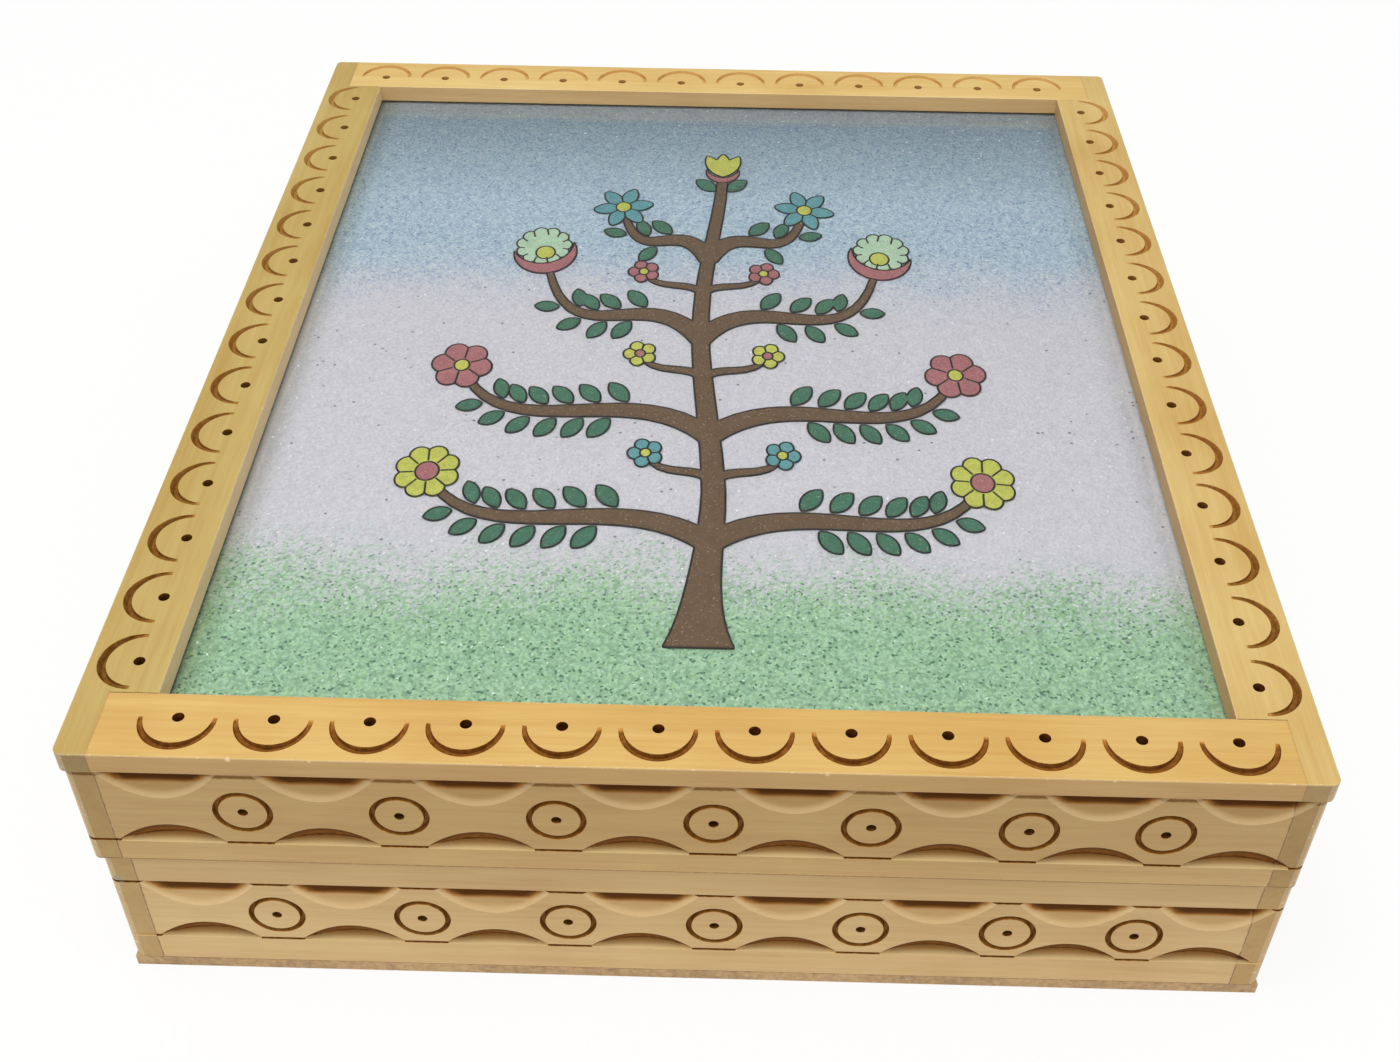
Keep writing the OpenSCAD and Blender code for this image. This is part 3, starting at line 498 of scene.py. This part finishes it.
def widthOf(group):
    points = [vert.co for face in group for vert in face.verts]
    return max(max(p[i] for p in points) - min(p[i] for p in points) for i in range(3))


def tellKinds(bm, ring, piece, kind):
    plain = {face for face in bm.faces if isPlain(ring, piece, face)}
    for face in plain:
        face[kind] = faceKinds["plain"]
    for group in cutGroups(bm, plain):
        width = widthOf(group)
        wide = "arc" if piece["carved"] == "top" else "ring" if width < ringSize else "scoop"
        for face in group:
            face[kind] = faceKinds["dot" if width < dotSize else wide]


def saw(bm, parts, point, normal, clear=False):  # cuts along a plane, and can drop what is beyond
    cut = bmesh.ops.bisect_plane(bm, geom=list(parts), dist=touching / 50, plane_co=point,
                                 plane_no=normal, clear_outer=clear)
    return [item for item in cut["geom_cut"] if isinstance(item, bmesh.types.BMEdge)]


def sawnFlats(bm, kind):  # where a saw line runs under a flat: its axis, its two ends and a point
    scoop = faceKinds["scoop"]
    for edge in bm.edges:
        above = any(face.normal.z < -level and face[kind] == scoop for face in edge.link_faces)
        beside = any(abs(face.normal.z) < upright and not face[kind] for face in edge.link_faces)
        if above and beside:
            a, b = edge.verts[0].co, edge.verts[1].co
            axis = 0 if abs(a.x - b.x) > abs(a.y - b.y) else 1
            yield axis, min(a[axis], b[axis]), max(a[axis], b[axis]), a.copy()


def sawFloors(bm, kind, point):  # level faces close under a point on a saw line's upper edge
    return [face for face in bm.faces if face.normal.z > level and face[kind] == faceKinds["scoop"]
            and 0 < point.z - face.calc_center_median().z < sawLine["height"]]


def markSawLines(bm, kind):  # parts the floors of the saw lines from the ledges
    for axis, low, high, point in list(sawnFlats(bm, kind)):
        normal = Vector((axis == 0, axis == 1, 0))
        for place in (low, high):
            parts = {item for face in sawFloors(bm, kind, point)
                     for item in (face, *face.edges, *face.verts)}
            saw(bm, parts, normal * place, normal)
        for face in sawFloors(bm, kind, point):
            centre = face.calc_center_median()
            near = abs(centre[1 - axis] - point[1 - axis]) < sawLine["depth"]
            if low < centre[axis] < high and near:
                face[kind] = faceKinds["sawLine"]


def boxEdges(low, high):  # a box's edges: the axis along each, its middle, its outward directions
    for along in range(3):
        first, second = [axis for axis in range(3) if axis != along]
        for a, outA in ((low, -1), (high, 1)):
            for b, outB in ((low, -1), (high, 1)):
                middle, towardA, towardB = (low + high) / 2, Vector(), Vector()
                middle[first], middle[second] = a[first], b[second]
                towardA[first], towardB[second] = outA, outB
                yield along, middle, towardA, towardB


def rubEdges(bm, ring, piece, kind):  # takes the box edges off to a round, one flat step at a time
    for along, middle, a, b in boxEdges(piece["low"], piece["high"]):
        fromSide, fromEnd = inward(ring, middle)
        if along == 2:
            name = "corner" if max(fromSide, fromEnd) < touching else "seam"
        else:
            name = "edge" if min(fromSide, fromEnd) < touching or piece["rim"](middle) else "seam"
        radius, steps = rubbed[name]
        for step in range(steps):
            turn = math.pi / 2 * (step + 0.5) / steps
            normal = a * math.cos(turn) + b * math.sin(turn)
            point = middle + (normal - a - b) * radius * mm
            rim = saw(bm, bm.verts[:] + bm.edges[:] + bm.faces[:], point, normal, clear=True)
            for face in bmesh.ops.holes_fill(bm, edges=rim, sides=0)["faces"]:
                face[kind] = faceKinds["rubbed"]
    bmesh.ops.remove_doubles(bm, verts=bm.verts[:], dist=touching / 10)
    gaps = [edge for edge in bm.edges if edge.is_boundary]
    bmesh.ops.holes_fill(bm, edges=gaps, sides=0)
    bmesh.ops.recalc_face_normals(bm, faces=bm.faces[:])


def tellCuts(bm, ring, piece, kind):  # what the wood's material reads from each face
    told = {name: bm.faces.layers.float.new(name) for name in faceTold}
    # The drop is how far a point lies under a slant from the top of its scoop
    depth, drop = [bm.loops.layers.float.new(name) for name in cornerTold]
    scoops = {face for face in bm.faces if face[kind] == faceKinds["scoop"]}
    upper = {face for face in scoops if 0 < face.normal.z < level}
    top = max((vert.co.z for face in upper for vert in face.verts), default=0)
    back = slab["y"]
    shallow = {faceKinds[name]: scorchAndShade[name] for name in ("dot", "ring", "arc", "sawLine")}
    for face in bm.faces:
        centre = face.calc_center_median()
        face.smooth = face[kind] not in (faceKinds["plain"], faceKinds["sawLine"])
        face[told["rim"]] = 1.0 if face[kind] == faceKinds["rubbed"] else 0.0
        # grooves toward the back are painted paler for the light that washes over them
        far = (centre.y + back) / (2 * back) if piece["carved"] == "top" else 0
        face[told["groove"]] = shallow.get(face[kind], 0.0) * (1 - far * (1 - scorchAndShade["far"]))
        stands = abs(face.normal.z) < 0.9
        outer = stands and face not in scoops and min(inward(ring, centre)) < 0.3 * mm
        face[told["outside"]] = 1.0 if outer or face in upper else 0.0
        face[told["opening"]] = 1.0 if stands and piece["rim"](centre) else 0.0
        for loop in face.loops:
            loop[depth] = cutDepth(ring, piece, face.normal, loop.vert.co) / mm
            under = (top - loop.vert.co.z) / mm - scorchAndShade["upperSlant"] * loop[depth]
            loop[drop] = under if face in upper else 0.0
        if face in scoops:
            isLevel = abs(face.normal.z) > level
            name = "ledge" if isLevel else "upper" if face.normal.z > 0 else "under"
            for key, value in scorchAndShade[name].items():
                face[told[key]] = value


def pieceFrom(bm, name, node, material, slot):  # a finished mesh, in the place of its node
    mesh = bpy.data.meshes.new(name)
    bm.to_mesh(mesh)
    bm.free()
    mesh.materials.append(material)
    made = newObject(name, mesh)
    placeOn(made, bodyOf[node], slot, node)
    return made


def carvedPiece(node, ring, carved, material, slot, rim):
    low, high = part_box(node)
    piece = {"carved": carved, "low": low, "high": high, "rim": rim}
    bm = mergedCopy(node)
    kind = bm.faces.layers.int.new("kind")
    tellKinds(bm, ring, piece, kind)
    markSawLines(bm, kind)
    rubEdges(bm, ring, piece, kind)
    smoothUpTo(bm, 24)
    tellCuts(bm, ring, piece, bm.faces.layers.int["kind"])
    bm.faces.layers.int.remove(bm.faces.layers.int["kind"])
    pieceFrom(bm, node + "_wood", node, material, slot)


slab = outerPlanes("lid_rail_left", "lid_rail_right")
lidRing = outerPlanes("lid_wall_left", "lid_wall_right")
baseRing = outerPlanes("base_wall_left", "base_wall_right")
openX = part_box("lid_rail_left")[1].x
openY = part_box("lid_rail_front")[1].y


def onOpening(point):  # the rails' inner edges, round the picture
    return abs(point.x) < -openX + touching and abs(point.y) < -openY + touching


# Side, carved face and grain axis of each piece, and its tint in the frame and in the walls
sides = [("front", "ends", 0), ("back", "ends", 0), ("left", "sides", 1), ("right", "sides", 1)]
woodTints = {
    "lid_rail": ("#F3E3CF", "#FFFAF6", "#DCDACC", "#F1ECE8"),
    "lid_wall": ("#FDFAF3", "#FFFFFF", "#F8F4EA", "#F6F3E8"),
    "base_wall": ("#FFFFFF", "#FAF6F0", "#F8F5EC", "#FAF5EA"),
}
bare = {"front": 0.4, "back": 0.05, "left": 0.8, "right": 0.0}  # painted light on the rails' inner faces round the picture


def makeWoodwork():
    rings = {"lid_rail": slab, "lid_wall": lidRing, "base_wall": baseRing}
    seed = 1
    for group, ring in rings.items():
        isWall = ring is not slab
        for (side, carved, grain), tint in zip(sides, woodTints[group]):
            node = f"{group}_{side}"
            joints = [corner.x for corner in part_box(node)] if grain == 0 else []
            material = makeWood(f"lacqueredHaldu_{node}", grain, seed, tint, bare[side],
                                isWall, joints, marks.get(node, ()))
            carvedPiece(node, ring, carved if isWall else "top", material,
                        "wall_wood" if isWall else "frame_wood",
                        (lambda point: False) if isWall else onOpening)
            seed += 1


makeWoodwork()
print("rails and walls made")


def easedPiece(node, width, material, slot, angle=35):  # edges sharper than the angle taken off
    bm = mergedCopy(node)
    sharp = [edge for edge in bm.edges if len(edge.link_faces) == 2
             and edge.calc_face_angle_signed() > math.radians(angle)]
    bmesh.ops.bevel(
        bm, geom=sharp, offset=width * mm, segments=2, affect="EDGES", clamp_overlap=True)
    smoothUpTo(bm, 30)
    return pieceFrom(bm, node + "_eased", node, material, slot)


# Boards: the bottom is a plain greyish board, and another one holds the picture in the lid

boards = {
    "edge": 0.2,
    "tones": {"bottom_board": ("#CBAA7C", "#9E815E"), "lid_backing": ("#C9B08A", "#A38A66")},
    "pore": "#5E4E3C", "pored": 0.6,  # colour and strength of the dark pores
    "along": 25,                      # how many times longer the fibres are along Y
    "fibres": 0.9, "stains": 0.06, "stained": 0.3,  # noise per millimetre, and the stains' share
    "bump": 0.1, "rough": 0.75,
}


def makeBoard(node, light, dark, seed):
    material, tree = newMaterial("sawnPlyBoard_" + node)  # dull, coarse, with darker fibres along Y
    place, spot = placesOn(tree)
    inGrain = addNode(tree, "Mapping", {
        "Vector": place, "Location": [3.7 * seed, 0, 0],
        "Scale": [1000, 1000 / boards["along"], 1000]})
    fibres = addNode(tree, "TexNoise", {
        "Vector": inGrain, "Scale": boards["fibres"], "Detail": 5.0, "Roughness": 0.7})
    stains = addNode(tree, "TexNoise", {"Vector": spot, "Scale": boards["stains"], "Detail": 3.0})
    figure = addNode(tree, "Math", {0: stains, 1: boards["stained"]}, **times)
    figure = addNode(tree, "Math", {0: fibres, 1: 1 - boards["stained"], 2: figure}, **timesPlus)
    tone = addNode(tree, "ValToRGB", {"Fac": figure}, ramp=[(0.35, dark), (0.62, light)])
    pores = addNode(tree, "MapRange", {"Value": fibres, **span(0.36, 0.28), "To Max": boards["pored"]})
    tone = addNode(tree, "Mix", {0: pores, 6: tone, 7: boards["pore"]}, **mixing)
    bump = addNode(tree, "Bump", {
        "Strength": 0.6, "Distance": boards["bump"] * mm, "Height": fibres})
    return finishMaterial(material, tree, {
        "Base Color": tone, "Roughness": boards["rough"], "Normal": bump})


for seed, (node, (light, dark)) in enumerate(boards["tones"].items()):
    easedPiece(node, boards["edge"], makeBoard(node, light, dark, seed), "plain_board")


# Linings: flocked cloth glued flat on the board, deep maroon with a soft pile

velvet = {
    "dark": "#4E1420", "light": "#7A2433", "edge": 0.35,
    "brushed": 0.02, "pile": 2.2, "piled": 0.65,  # noise per millimetre, and the pile's share
    "bump": 0.15, "rough": 0.95,
    "sheen": 0.7, "sheenRough": 0.35, "sheenTone": "#E58F9B",
}


def makeVelvet():
    material, tree = newMaterial("maroonVelvet")  # the pile is brushed in patches and catches light
    spot = placesOn(tree)[1]
    brushed = addNode(tree, "TexNoise", {
        "Vector": spot, "Scale": velvet["brushed"], "Detail": 2.0, "Distortion": 0.3})
    pile = addNode(tree, "TexNoise", {
        "Vector": spot, "Scale": velvet["pile"], "Detail": 3.0, "Roughness": 0.7})
    figure = addNode(tree, "Math", {0: pile, 1: velvet["piled"]}, **times)
    figure = addNode(tree, "Math", {0: brushed, 1: 1 - velvet["piled"], 2: figure}, **timesPlus)
    tone = addNode(tree, "ValToRGB", {"Fac": figure},
                   ramp=[(0.34, velvet["dark"]), (0.66, velvet["light"])])
    bump = addNode(tree, "Bump", {"Strength": 0.5, "Distance": velvet["bump"] * mm, "Height": pile})
    return finishMaterial(material, tree, {
        "Base Color": tone, "Roughness": velvet["rough"], "Normal": bump,
        "Sheen Weight": velvet["sheen"], "Sheen Roughness": velvet["sheenRough"],
        "Sheen Tint": velvet["sheenTone"]})


maroon = makeVelvet()
for node, board in (("lid_lining", "lid_backing"), ("base_lining", "bottom_board")):
    lining = easedPiece(node, velvet["edge"], maroon, "velvet")
    low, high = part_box(node)


# Fittings: pressed brass hinges with their pins and screws, and steel nails

metals = {
    "brass": {"light": "#EBCB80", "dark": "#C59D50", "rough": 0.3, "scratches": 0.12},
    "steel": {"light": "#B9BABC", "dark": "#7E7F82", "rough": 0.38, "scratches": 0.1},
    "tarnish": 0.35, "duller": 0.16, "brighter": 0.06,  # patches per millimetre, and their change
    "scuffs": (120, 2600, 2600),  # per metre: they run along the pins
    "bump": 0.03,
    "edges": {"lid_leaf": 0.14, "base_leaf": 0.14, "pin": 0.14,
              "lid_screws": 0.08, "base_screws": 0.08},
}


def makeMetal(name, look):
    material, tree = newMaterial(name)  # bright, lightly scuffed, duller where it tarnished
    place, spot = placesOn(tree)
    tarnish = addNode(tree, "TexNoise", {
        "Vector": spot, "Scale": metals["tarnish"], "Detail": 4.0, "Roughness": 0.6})
    drawn = addNode(tree, "Mapping", {"Vector": place, "Scale": metals["scuffs"]})
    scuffs = addNode(tree, "TexNoise", {"Vector": drawn, "Scale": 1.0, "Detail": 2.0})
    tone = addNode(tree, "ValToRGB", {"Fac": tarnish},
                   ramp=[(0.4, look["dark"]), (0.6, look["light"])])
    rough = addNode(tree, "MapRange", {
        "Value": tarnish, **span(0.35, 0.65),
        "To Min": look["rough"] + metals["duller"], "To Max": look["rough"] - metals["brighter"]})
    bump = addNode(tree, "Bump", {
        "Strength": look["scratches"], "Distance": metals["bump"] * mm, "Height": scuffs})
    return finishMaterial(material, tree, {
        "Base Color": tone, "Roughness": rough, "Metallic": 1.0, "Normal": bump})


def dress(node, material):  # a CAD node that keeps its own mesh gets its material
    mesh = nodes[node].data
    mesh.materials.clear()
    mesh.materials.append(material)


brass = makeMetal("pressedBrass", metals["brass"])
steel = makeMetal("drawnSteel", metals["steel"])
for hand in ("left", "right"):
    for part, edge in metals["edges"].items():
        easedPiece(f"{hand}_hinge_{part}", edge, brass, "hinge_brass", angle=45)
for node in ("lid_corner_nails", "base_corner_nails", "bottom_nails"):
    dress(node, steel)
print("boards, linings, hinges and nails made")


# Picture: coloured stone dust behind inlays of ground stone, all under a clear pane

dust = {
    "grain": 0.48, "clump": 2.2,  # sizes of a grain and of a clump of grains
    "cloud": 0.045,  # per millimetre
    "greenEdge": (-73, 7), "blueEdge": (27, 9),  # along Y, and half the width of the change
    "spread": 16, "drift": 26,  # how widely the colours mingle there, and how far the edge wanders
    "green": ("#73957B", "#9ABA9E"), "lilac": ("#ACACB8", "#BBBBC5"),
    "blue": ("#849BAE", "#AABAC7"),
    "hues": (0.475, 0.53),  # of single grains, about 0.5
    "top": "#C0C3C3", "topFrom": 60, "topTo": 104,  # the sky is greyer toward its top
    "darkGreen": "#3A624D", "darkLilac": "#66667A", "darkBlue": "#48648C",
    "darkFrom": 0.9, "darkFull": 0.95, "darkShare": 0.9,  # which of the grains are dark
    "darkInLilac": 0.14, "darkInBlue": 0.5,  # fewer of them than in the green
    "rare": "#4C4A5E", "rareSize": 0.9,  # a few coarser dark grains
    "rareFrom": 0.985, "rareShare": 0.75,
    "shade": "#DFDFD5", "shadeWidth": 6.5, "shadeRight": 0.45,  # painted shadow bands beside the frame's rails
    "glass": "#E6E8EA", "glassFrom": 0.005, "glassFull": 0.002, "glassShare": 0.6,
    "rough": 0.85, "glassRough": 0.2, "gloss": 0.15, "bump": 0.12,
}


def makeDust():
    material, tree = newMaterial("crushedStoneDust")  # granular, matt, with dark and glassy specks
    spot = placesOn(tree)[1]
    grains = addNode(tree, "TexVoronoi", {"Vector": spot, "Scale": 1 / dust["grain"]}, out=None)
    dice = addNode(tree, "SeparateColor", {"Color": grains.outputs["Color"]}, out=None)
    clumps = addNode(tree, "TexNoise", {
        "Vector": spot, "Scale": 1 / dust["clump"], "Detail": 3.0, "Roughness": 0.6})
    cloud = addNode(tree, "TexNoise", {"Vector": spot, "Scale": dust["cloud"], "Detail": 2.0})
    at = addNode(tree, "SeparateXYZ", {0: spot}, out=None)

    # Each grain is thrown a little up or down the picture before its colour is chosen
    thrown = addNode(tree, "Math", {
        0: dice.outputs["Red"], 1: dust["spread"], 2: at.outputs["Y"]}, **timesPlus)
    drift = addNode(tree, "Math", {0: cloud, 1: dust["drift"], 2: thrown}, **timesPlus)
    mean = (dust["spread"] + dust["drift"]) / 2
    ground, sky = [addNode(tree, "MapRange", {
        "Value": drift, **span(mean + middle - half, mean + middle + half)})
        for middle, half in (dust["greenEdge"], dust["blueEdge"])]

    mixed = addNode(tree, "Math", {0: clumps, 1: 0.5}, **times)
    mixed = addNode(tree, "Math", {0: dice.outputs["Green"], 1: 0.55, 2: mixed}, **timesPlus)
    tones = [addNode(tree, "ValToRGB", {"Fac": mixed}, ramp=[(0.25, low), (0.8, high)])
             for low, high in (dust["green"], dust["lilac"], dust["blue"])]
    darks = [dust["darkGreen"], dust["darkLilac"], dust["darkBlue"]]
    tone, dark = [addNode(tree, "Mix", {0: sky, 6: addNode(
        tree, "Mix", {0: ground, 6: green, 7: lilac}, **mixing), 7: blue}, **mixing)
        for green, lilac, blue in (tones, darks)]
    high = addNode(tree, "MapRange", {
        "Value": at.outputs["Y"], **span(dust["topFrom"], dust["topTo"])})
    tone = addNode(tree, "Mix", {0: high, 6: tone, 7: dust["top"]}, **multiplying)
    hue = addNode(tree, "MapRange", {
        "Value": dice.outputs["Red"], "To Min": dust["hues"][0], "To Max": dust["hues"][1]})
    tone = addNode(tree, "HueSaturation", {"Hue": hue, "Color": tone})

    # A few grains are dark, more of them in the ground and the sky, and a few are glassy
    isDark = addNode(tree, "MapRange", {
        "Value": dice.outputs["Blue"], **span(dust["darkFrom"], dust["darkFull"]),
        "To Max": dust["darkShare"]})
    plainer = addNode(tree, "MapRange", {
        "Value": ground, "To Min": 1.0, "To Max": dust["darkInLilac"]})
    plainer = addNode(tree, "Math", {0: sky, 1: dust["darkInBlue"], 2: plainer}, **timesPlus)
    share = addNode(tree, "Math", {0: isDark, 1: plainer}, **times)
    tone = addNode(tree, "Mix", {0: share, 6: tone, 7: dark}, **mixing)
    coarse = addNode(tree, "TexVoronoi", {"Vector": spot, "Scale": 1 / dust["rareSize"]}, out=None)
    chance = addNode(tree, "SeparateColor", {"Color": coarse.outputs["Color"]}, out="Red")
    chosen = addNode(tree, "Math", {0: chance, 1: dust["rareFrom"]}, operation="GREATER_THAN")
    near = addNode(tree, "MapRange", {
        "Value": coarse.outputs["Distance"], **span(0.42, 0.28), "To Max": dust["rareShare"]})
    rare = addNode(tree, "Math", {0: chosen, 1: near}, **times)
    tone = addNode(tree, "Mix", {0: rare, 6: tone, 7: dust["rare"]}, **mixing)
    edge = -openX / mm
    for side, strength in ((-1, 1.0), (1, dust["shadeRight"])):
        toward = addNode(tree, "Math", {0: at.outputs["X"], 1: side}, **times)
        shaded = addNode(tree, "MapRange", {
            "Value": toward, **span(edge - dust["shadeWidth"], edge - 1.0),
            "To Max": strength}, **smoothly)
        tone = addNode(tree, "Mix", {0: shaded, 6: tone, 7: dust["shade"]}, **multiplying)
    glassy = addNode(tree, "MapRange", {
        "Value": dice.outputs["Blue"], **span(dust["glassFrom"], dust["glassFull"]),
        "To Max": dust["glassShare"]})
    tone = addNode(tree, "Mix", {0: glassy, 6: tone, 7: dust["glass"]}, **mixing)
    rough = addNode(tree, "MapRange", {
        "Value": glassy, "To Min": dust["rough"], "To Max": dust["glassRough"]})
    bump = addNode(tree, "Bump", {
        "Strength": 0.6, "Distance": dust["bump"] * mm, "Height": grains.outputs["Distance"]})
    return finishMaterial(material, tree, {
        "Base Color": tone, "Roughness": rough, "Normal": bump,
        "Specular IOR Level": dust["gloss"]})


# Inlays: finely ground stone in gum, laid flat on the back of the pane; matt with a faint speckle

inlayColours = {
    "tree_inlay": ("#594736", "#655240"), "leaf_inlays": ("#3A604F", "#436E5B"),
    "yellow_inlays": ("#9B9E4C", "#B0B457"), "red_inlays": ("#895A5F", "#9C676C"),
    "blue_inlays": ("#508088", "#5C919A"), "pale_inlays": ("#90A894", "#A4BFA8"),
}
inlaid = {"grains": 4.0, "clumps": 0.5, "clumped": 0.6,  # per millimetre, and the clumps' share
          "speck": "#C8C4C0", "specks": 0.22, "rough": 0.8, "gloss": 0.1}


def makeInlay(node, low, high):
    material, tree = newMaterial("groundStone_" + node)
    spot = placesOn(tree)[1]
    grains = addNode(tree, "TexVoronoi", {"Vector": spot, "Scale": inlaid["grains"]}, out="Color")
    dice = addNode(tree, "SeparateColor", {"Color": grains}, out=None)
    clumps = addNode(tree, "TexNoise", {"Vector": spot, "Scale": inlaid["clumps"], "Detail": 3.0})
    mixed = addNode(tree, "Math", {0: clumps, 1: inlaid["clumped"]}, **times)
    mixed = addNode(tree, "Math", {
        0: dice.outputs["Red"], 1: 1 - inlaid["clumped"], 2: mixed}, **timesPlus)
    tone = addNode(tree, "ValToRGB", {"Fac": mixed}, ramp=[(0.3, low), (0.7, high)])
    speck = addNode(tree, "MapRange", {
        "Value": dice.outputs["Green"], **span(0.96, 0.98), "To Max": inlaid["specks"]})
    tone = addNode(tree, "Mix", {0: speck, 6: tone, 7: inlaid["speck"]}, **mixing)
    return finishMaterial(material, tree, {
        "Base Color": tone, "Roughness": inlaid["rough"], "Specular IOR Level": inlaid["gloss"]})


dress("dust_field", makeDust())
for node, (low, high) in inlayColours.items():
    dress(node, makeInlay(node, low, high))


# Ink: a thin dark pen line round every inlay

ink = {
    "width": 0.42, "height": 0.03, "step": 0.5,
    "dark": "#0E0D0D", "worn": "#2B2826", "wear": 900, "rough": 0.7,  # wear: noise per metre
    "notch": 25,  # an outline that turns inward by more degrees than this parts two petals
    "petals": 0.9, "palePetals": 0.3,  # how far the lines between petals run toward the eye
}


def outlinesOf(bm, top):  # the rings of points round the inlays' upper faces
    upper = {face for face in bm.faces
             if face.normal.z > 0.9 and face.calc_center_median().z > top - touching}
    near = {}
    for edge in bm.edges:
        if sum(face in upper for face in edge.link_faces) == 1:
            for vert in edge.verts:
                near.setdefault(vert, []).append(edge.other_vert(vert))
    while near:
        here = next(iter(near))
        ring = []
        while here in near:
            ring.append(here.co.xy.copy())
            here = next((vert for vert in near.pop(here) if vert in near), None)
        yield ring


def notchesOf(ring):  # points where an outline turns sharply inward
    area = sum(a.cross(b) for a, b in zip(ring, ring[1:] + ring[:1]))
    for before, here, after in zip(ring[-1:] + ring[:-1], ring, ring[1:] + ring[:1]):
        turn = (here - before).angle_signed(after - here, 0)
        if math.copysign(1, area) * turn > math.radians(ink["notch"]):
            yield here


def petalLines(rings, share):  # lines from a flower's notches toward its eye, a share of the way
    for ring in rings:
        middle = sum(ring, Vector((0, 0))) / len(ring)
        reach = max((point - middle).length for point in ring)
        notches = list(notchesOf(ring))
        eyes = [other for other in rings if other is not ring
                and max((point - middle).length for point in other) < reach]
        if len(notches) < 4 or not eyes:
            continue
        eye = min(eyes, key=lambda other: (sum(other, Vector((0, 0))) / len(other) - middle).length)
        for notch in notches:
            end = min(eye, key=lambda point: (point - middle).angle(notch - middle))
            yield notch, notch.lerp(end, share)


def inkPaths():  # outlines of the inlays and lines between their petals, as loose edges
    paths = bmesh.new()
    for node in inlayColours:
        bm = mergedCopy(node)
        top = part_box(node)[1].z
        rings = list(outlinesOf(bm, top))
        bm.free()
        lines = list(petalLines(rings, ink["palePetals" if node == "pale_inlays" else "petals"]))
        for points in [ring + ring[:1] for ring in rings] + lines:
            drawn = [paths.verts.new((*point, top)) for point in points]
            for pair in zip(drawn, drawn[1:]):
                paths.edges.new(pair)
    bmesh.ops.remove_doubles(paths, verts=paths.verts[:], dist=touching / 100)
    mesh = bpy.data.meshes.new("inkPaths")
    paths.to_mesh(mesh)
    paths.free()
    return mesh


def inkTree():
    tree = bpy.data.node_groups.new("inkLine", "GeometryNodeTree")
    faces = tree.interface
    faces.new_socket("Geometry", in_out="INPUT", socket_type="NodeSocketGeometry")
    for name in ("Line width", "Line height", "Step"):
        faces.new_socket(name, in_out="INPUT", socket_type="NodeSocketFloat")
    faces.new_socket("Ink", in_out="INPUT", socket_type="NodeSocketMaterial")
    faces.new_socket("Geometry", in_out="OUTPUT", socket_type="NodeSocketGeometry")
    given = addNode(tree, "NodeGroupInput", out=None)
    curves = addNode(tree, "GeometryNodeMeshToCurve", {"Mesh": given.outputs["Geometry"]})
    even = addNode(tree, "GeometryNodeResampleCurve", {
        "Curve": curves, "Length": given.outputs["Step"]}, mode="LENGTH")
    flat = addNode(tree, "GeometryNodeSetCurveNormal", {"Curve": even}, mode="Z_UP")
    nib = addNode(tree, "GeometryNodeCurvePrimitiveQuadrilateral", {
        "Width": given.outputs["Line width"], "Height": given.outputs["Line height"]})
    line = addNode(tree, "GeometryNodeCurveToMesh", {"Curve": flat, "Profile Curve": nib})
    real = addNode(tree, "GeometryNodeRealizeInstances", {"Geometry": line})
    inked = addNode(tree, "GeometryNodeSetMaterial", {
        "Geometry": real, "Material": given.outputs["Ink"]})
    addNode(tree, "NodeGroupOutput", {"Geometry": inked}, out=None)
    return tree


def makeInk():
    material, tree = newMaterial("driedInk")  # thin, dark and matt, a little worn through
    place = addNode(tree, "TexCoord", out="Object")
    worn = addNode(tree, "TexNoise", {"Vector": place, "Scale": ink["wear"], "Detail": 2.0})
    tone = addNode(tree, "ValToRGB", {"Fac": worn}, ramp=[(0.35, ink["dark"]), (0.75, ink["worn"])])
    return finishMaterial(material, tree, {"Base Color": tone, "Roughness": ink["rough"]})


def grownBy(tree, mesh, name, values):  # runs a node tree on a mesh and keeps what it makes
    piece = newObject(name, mesh)
    growth = piece.modifiers.new(name, "NODES")
    growth.node_group = tree
    inputs = {item.name: item.identifier for item in tree.interface.items_tree
              if item.in_out == "INPUT"}
    for label, value in values.items():
        growth[inputs[label]] = value
    graph = bpy.context.evaluated_depsgraph_get()
    made = bpy.data.meshes.new_from_object(piece.evaluated_get(graph))
    piece.modifiers.clear()
    piece.data = made
    bpy.data.meshes.remove(mesh)
    return piece


inkLines = grownBy(inkTree(), inkPaths(), "ink_lines", {
    "Line width": ink["width"] * mm, "Line height": ink["height"] * mm, "Step": ink["step"] * mm,
    "Ink": makeInk()})
placeOn(inkLines, "lid", "brown_inlay")
print("picture and ink made:", len(inkLines.data.polygons), "faces of ink")


# Pane: clear acrylic or glass, glossy, with the picture showing through

pane = {"lift": 0.06, "edge": 0.1, "tone": "#FDFFFE", "rough": 0.03, "ior": 1.49}


def makePane():
    material, tree = newMaterial("clearGlass")
    finishMaterial(material, tree, {"Base Color": pane["tone"], "Roughness": pane["rough"],
                                    "IOR": pane["ior"], "Transmission Weight": 1.0})
    bm = mergedCopy("clear_pane")
    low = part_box("clear_pane")[0].z
    for vert in bm.verts:  # a hair of air between the picture and the pane
        if vert.co.z < low + touching:
            vert.co.z += pane["lift"] * mm
    bmesh.ops.bevel(bm, geom=bm.edges[:], offset=pane["edge"] * mm, segments=1, affect="EDGES")
    pieceFrom(bm, "pane", "clear_pane", material, "clear_pane").visible_shadow = False


makePane()
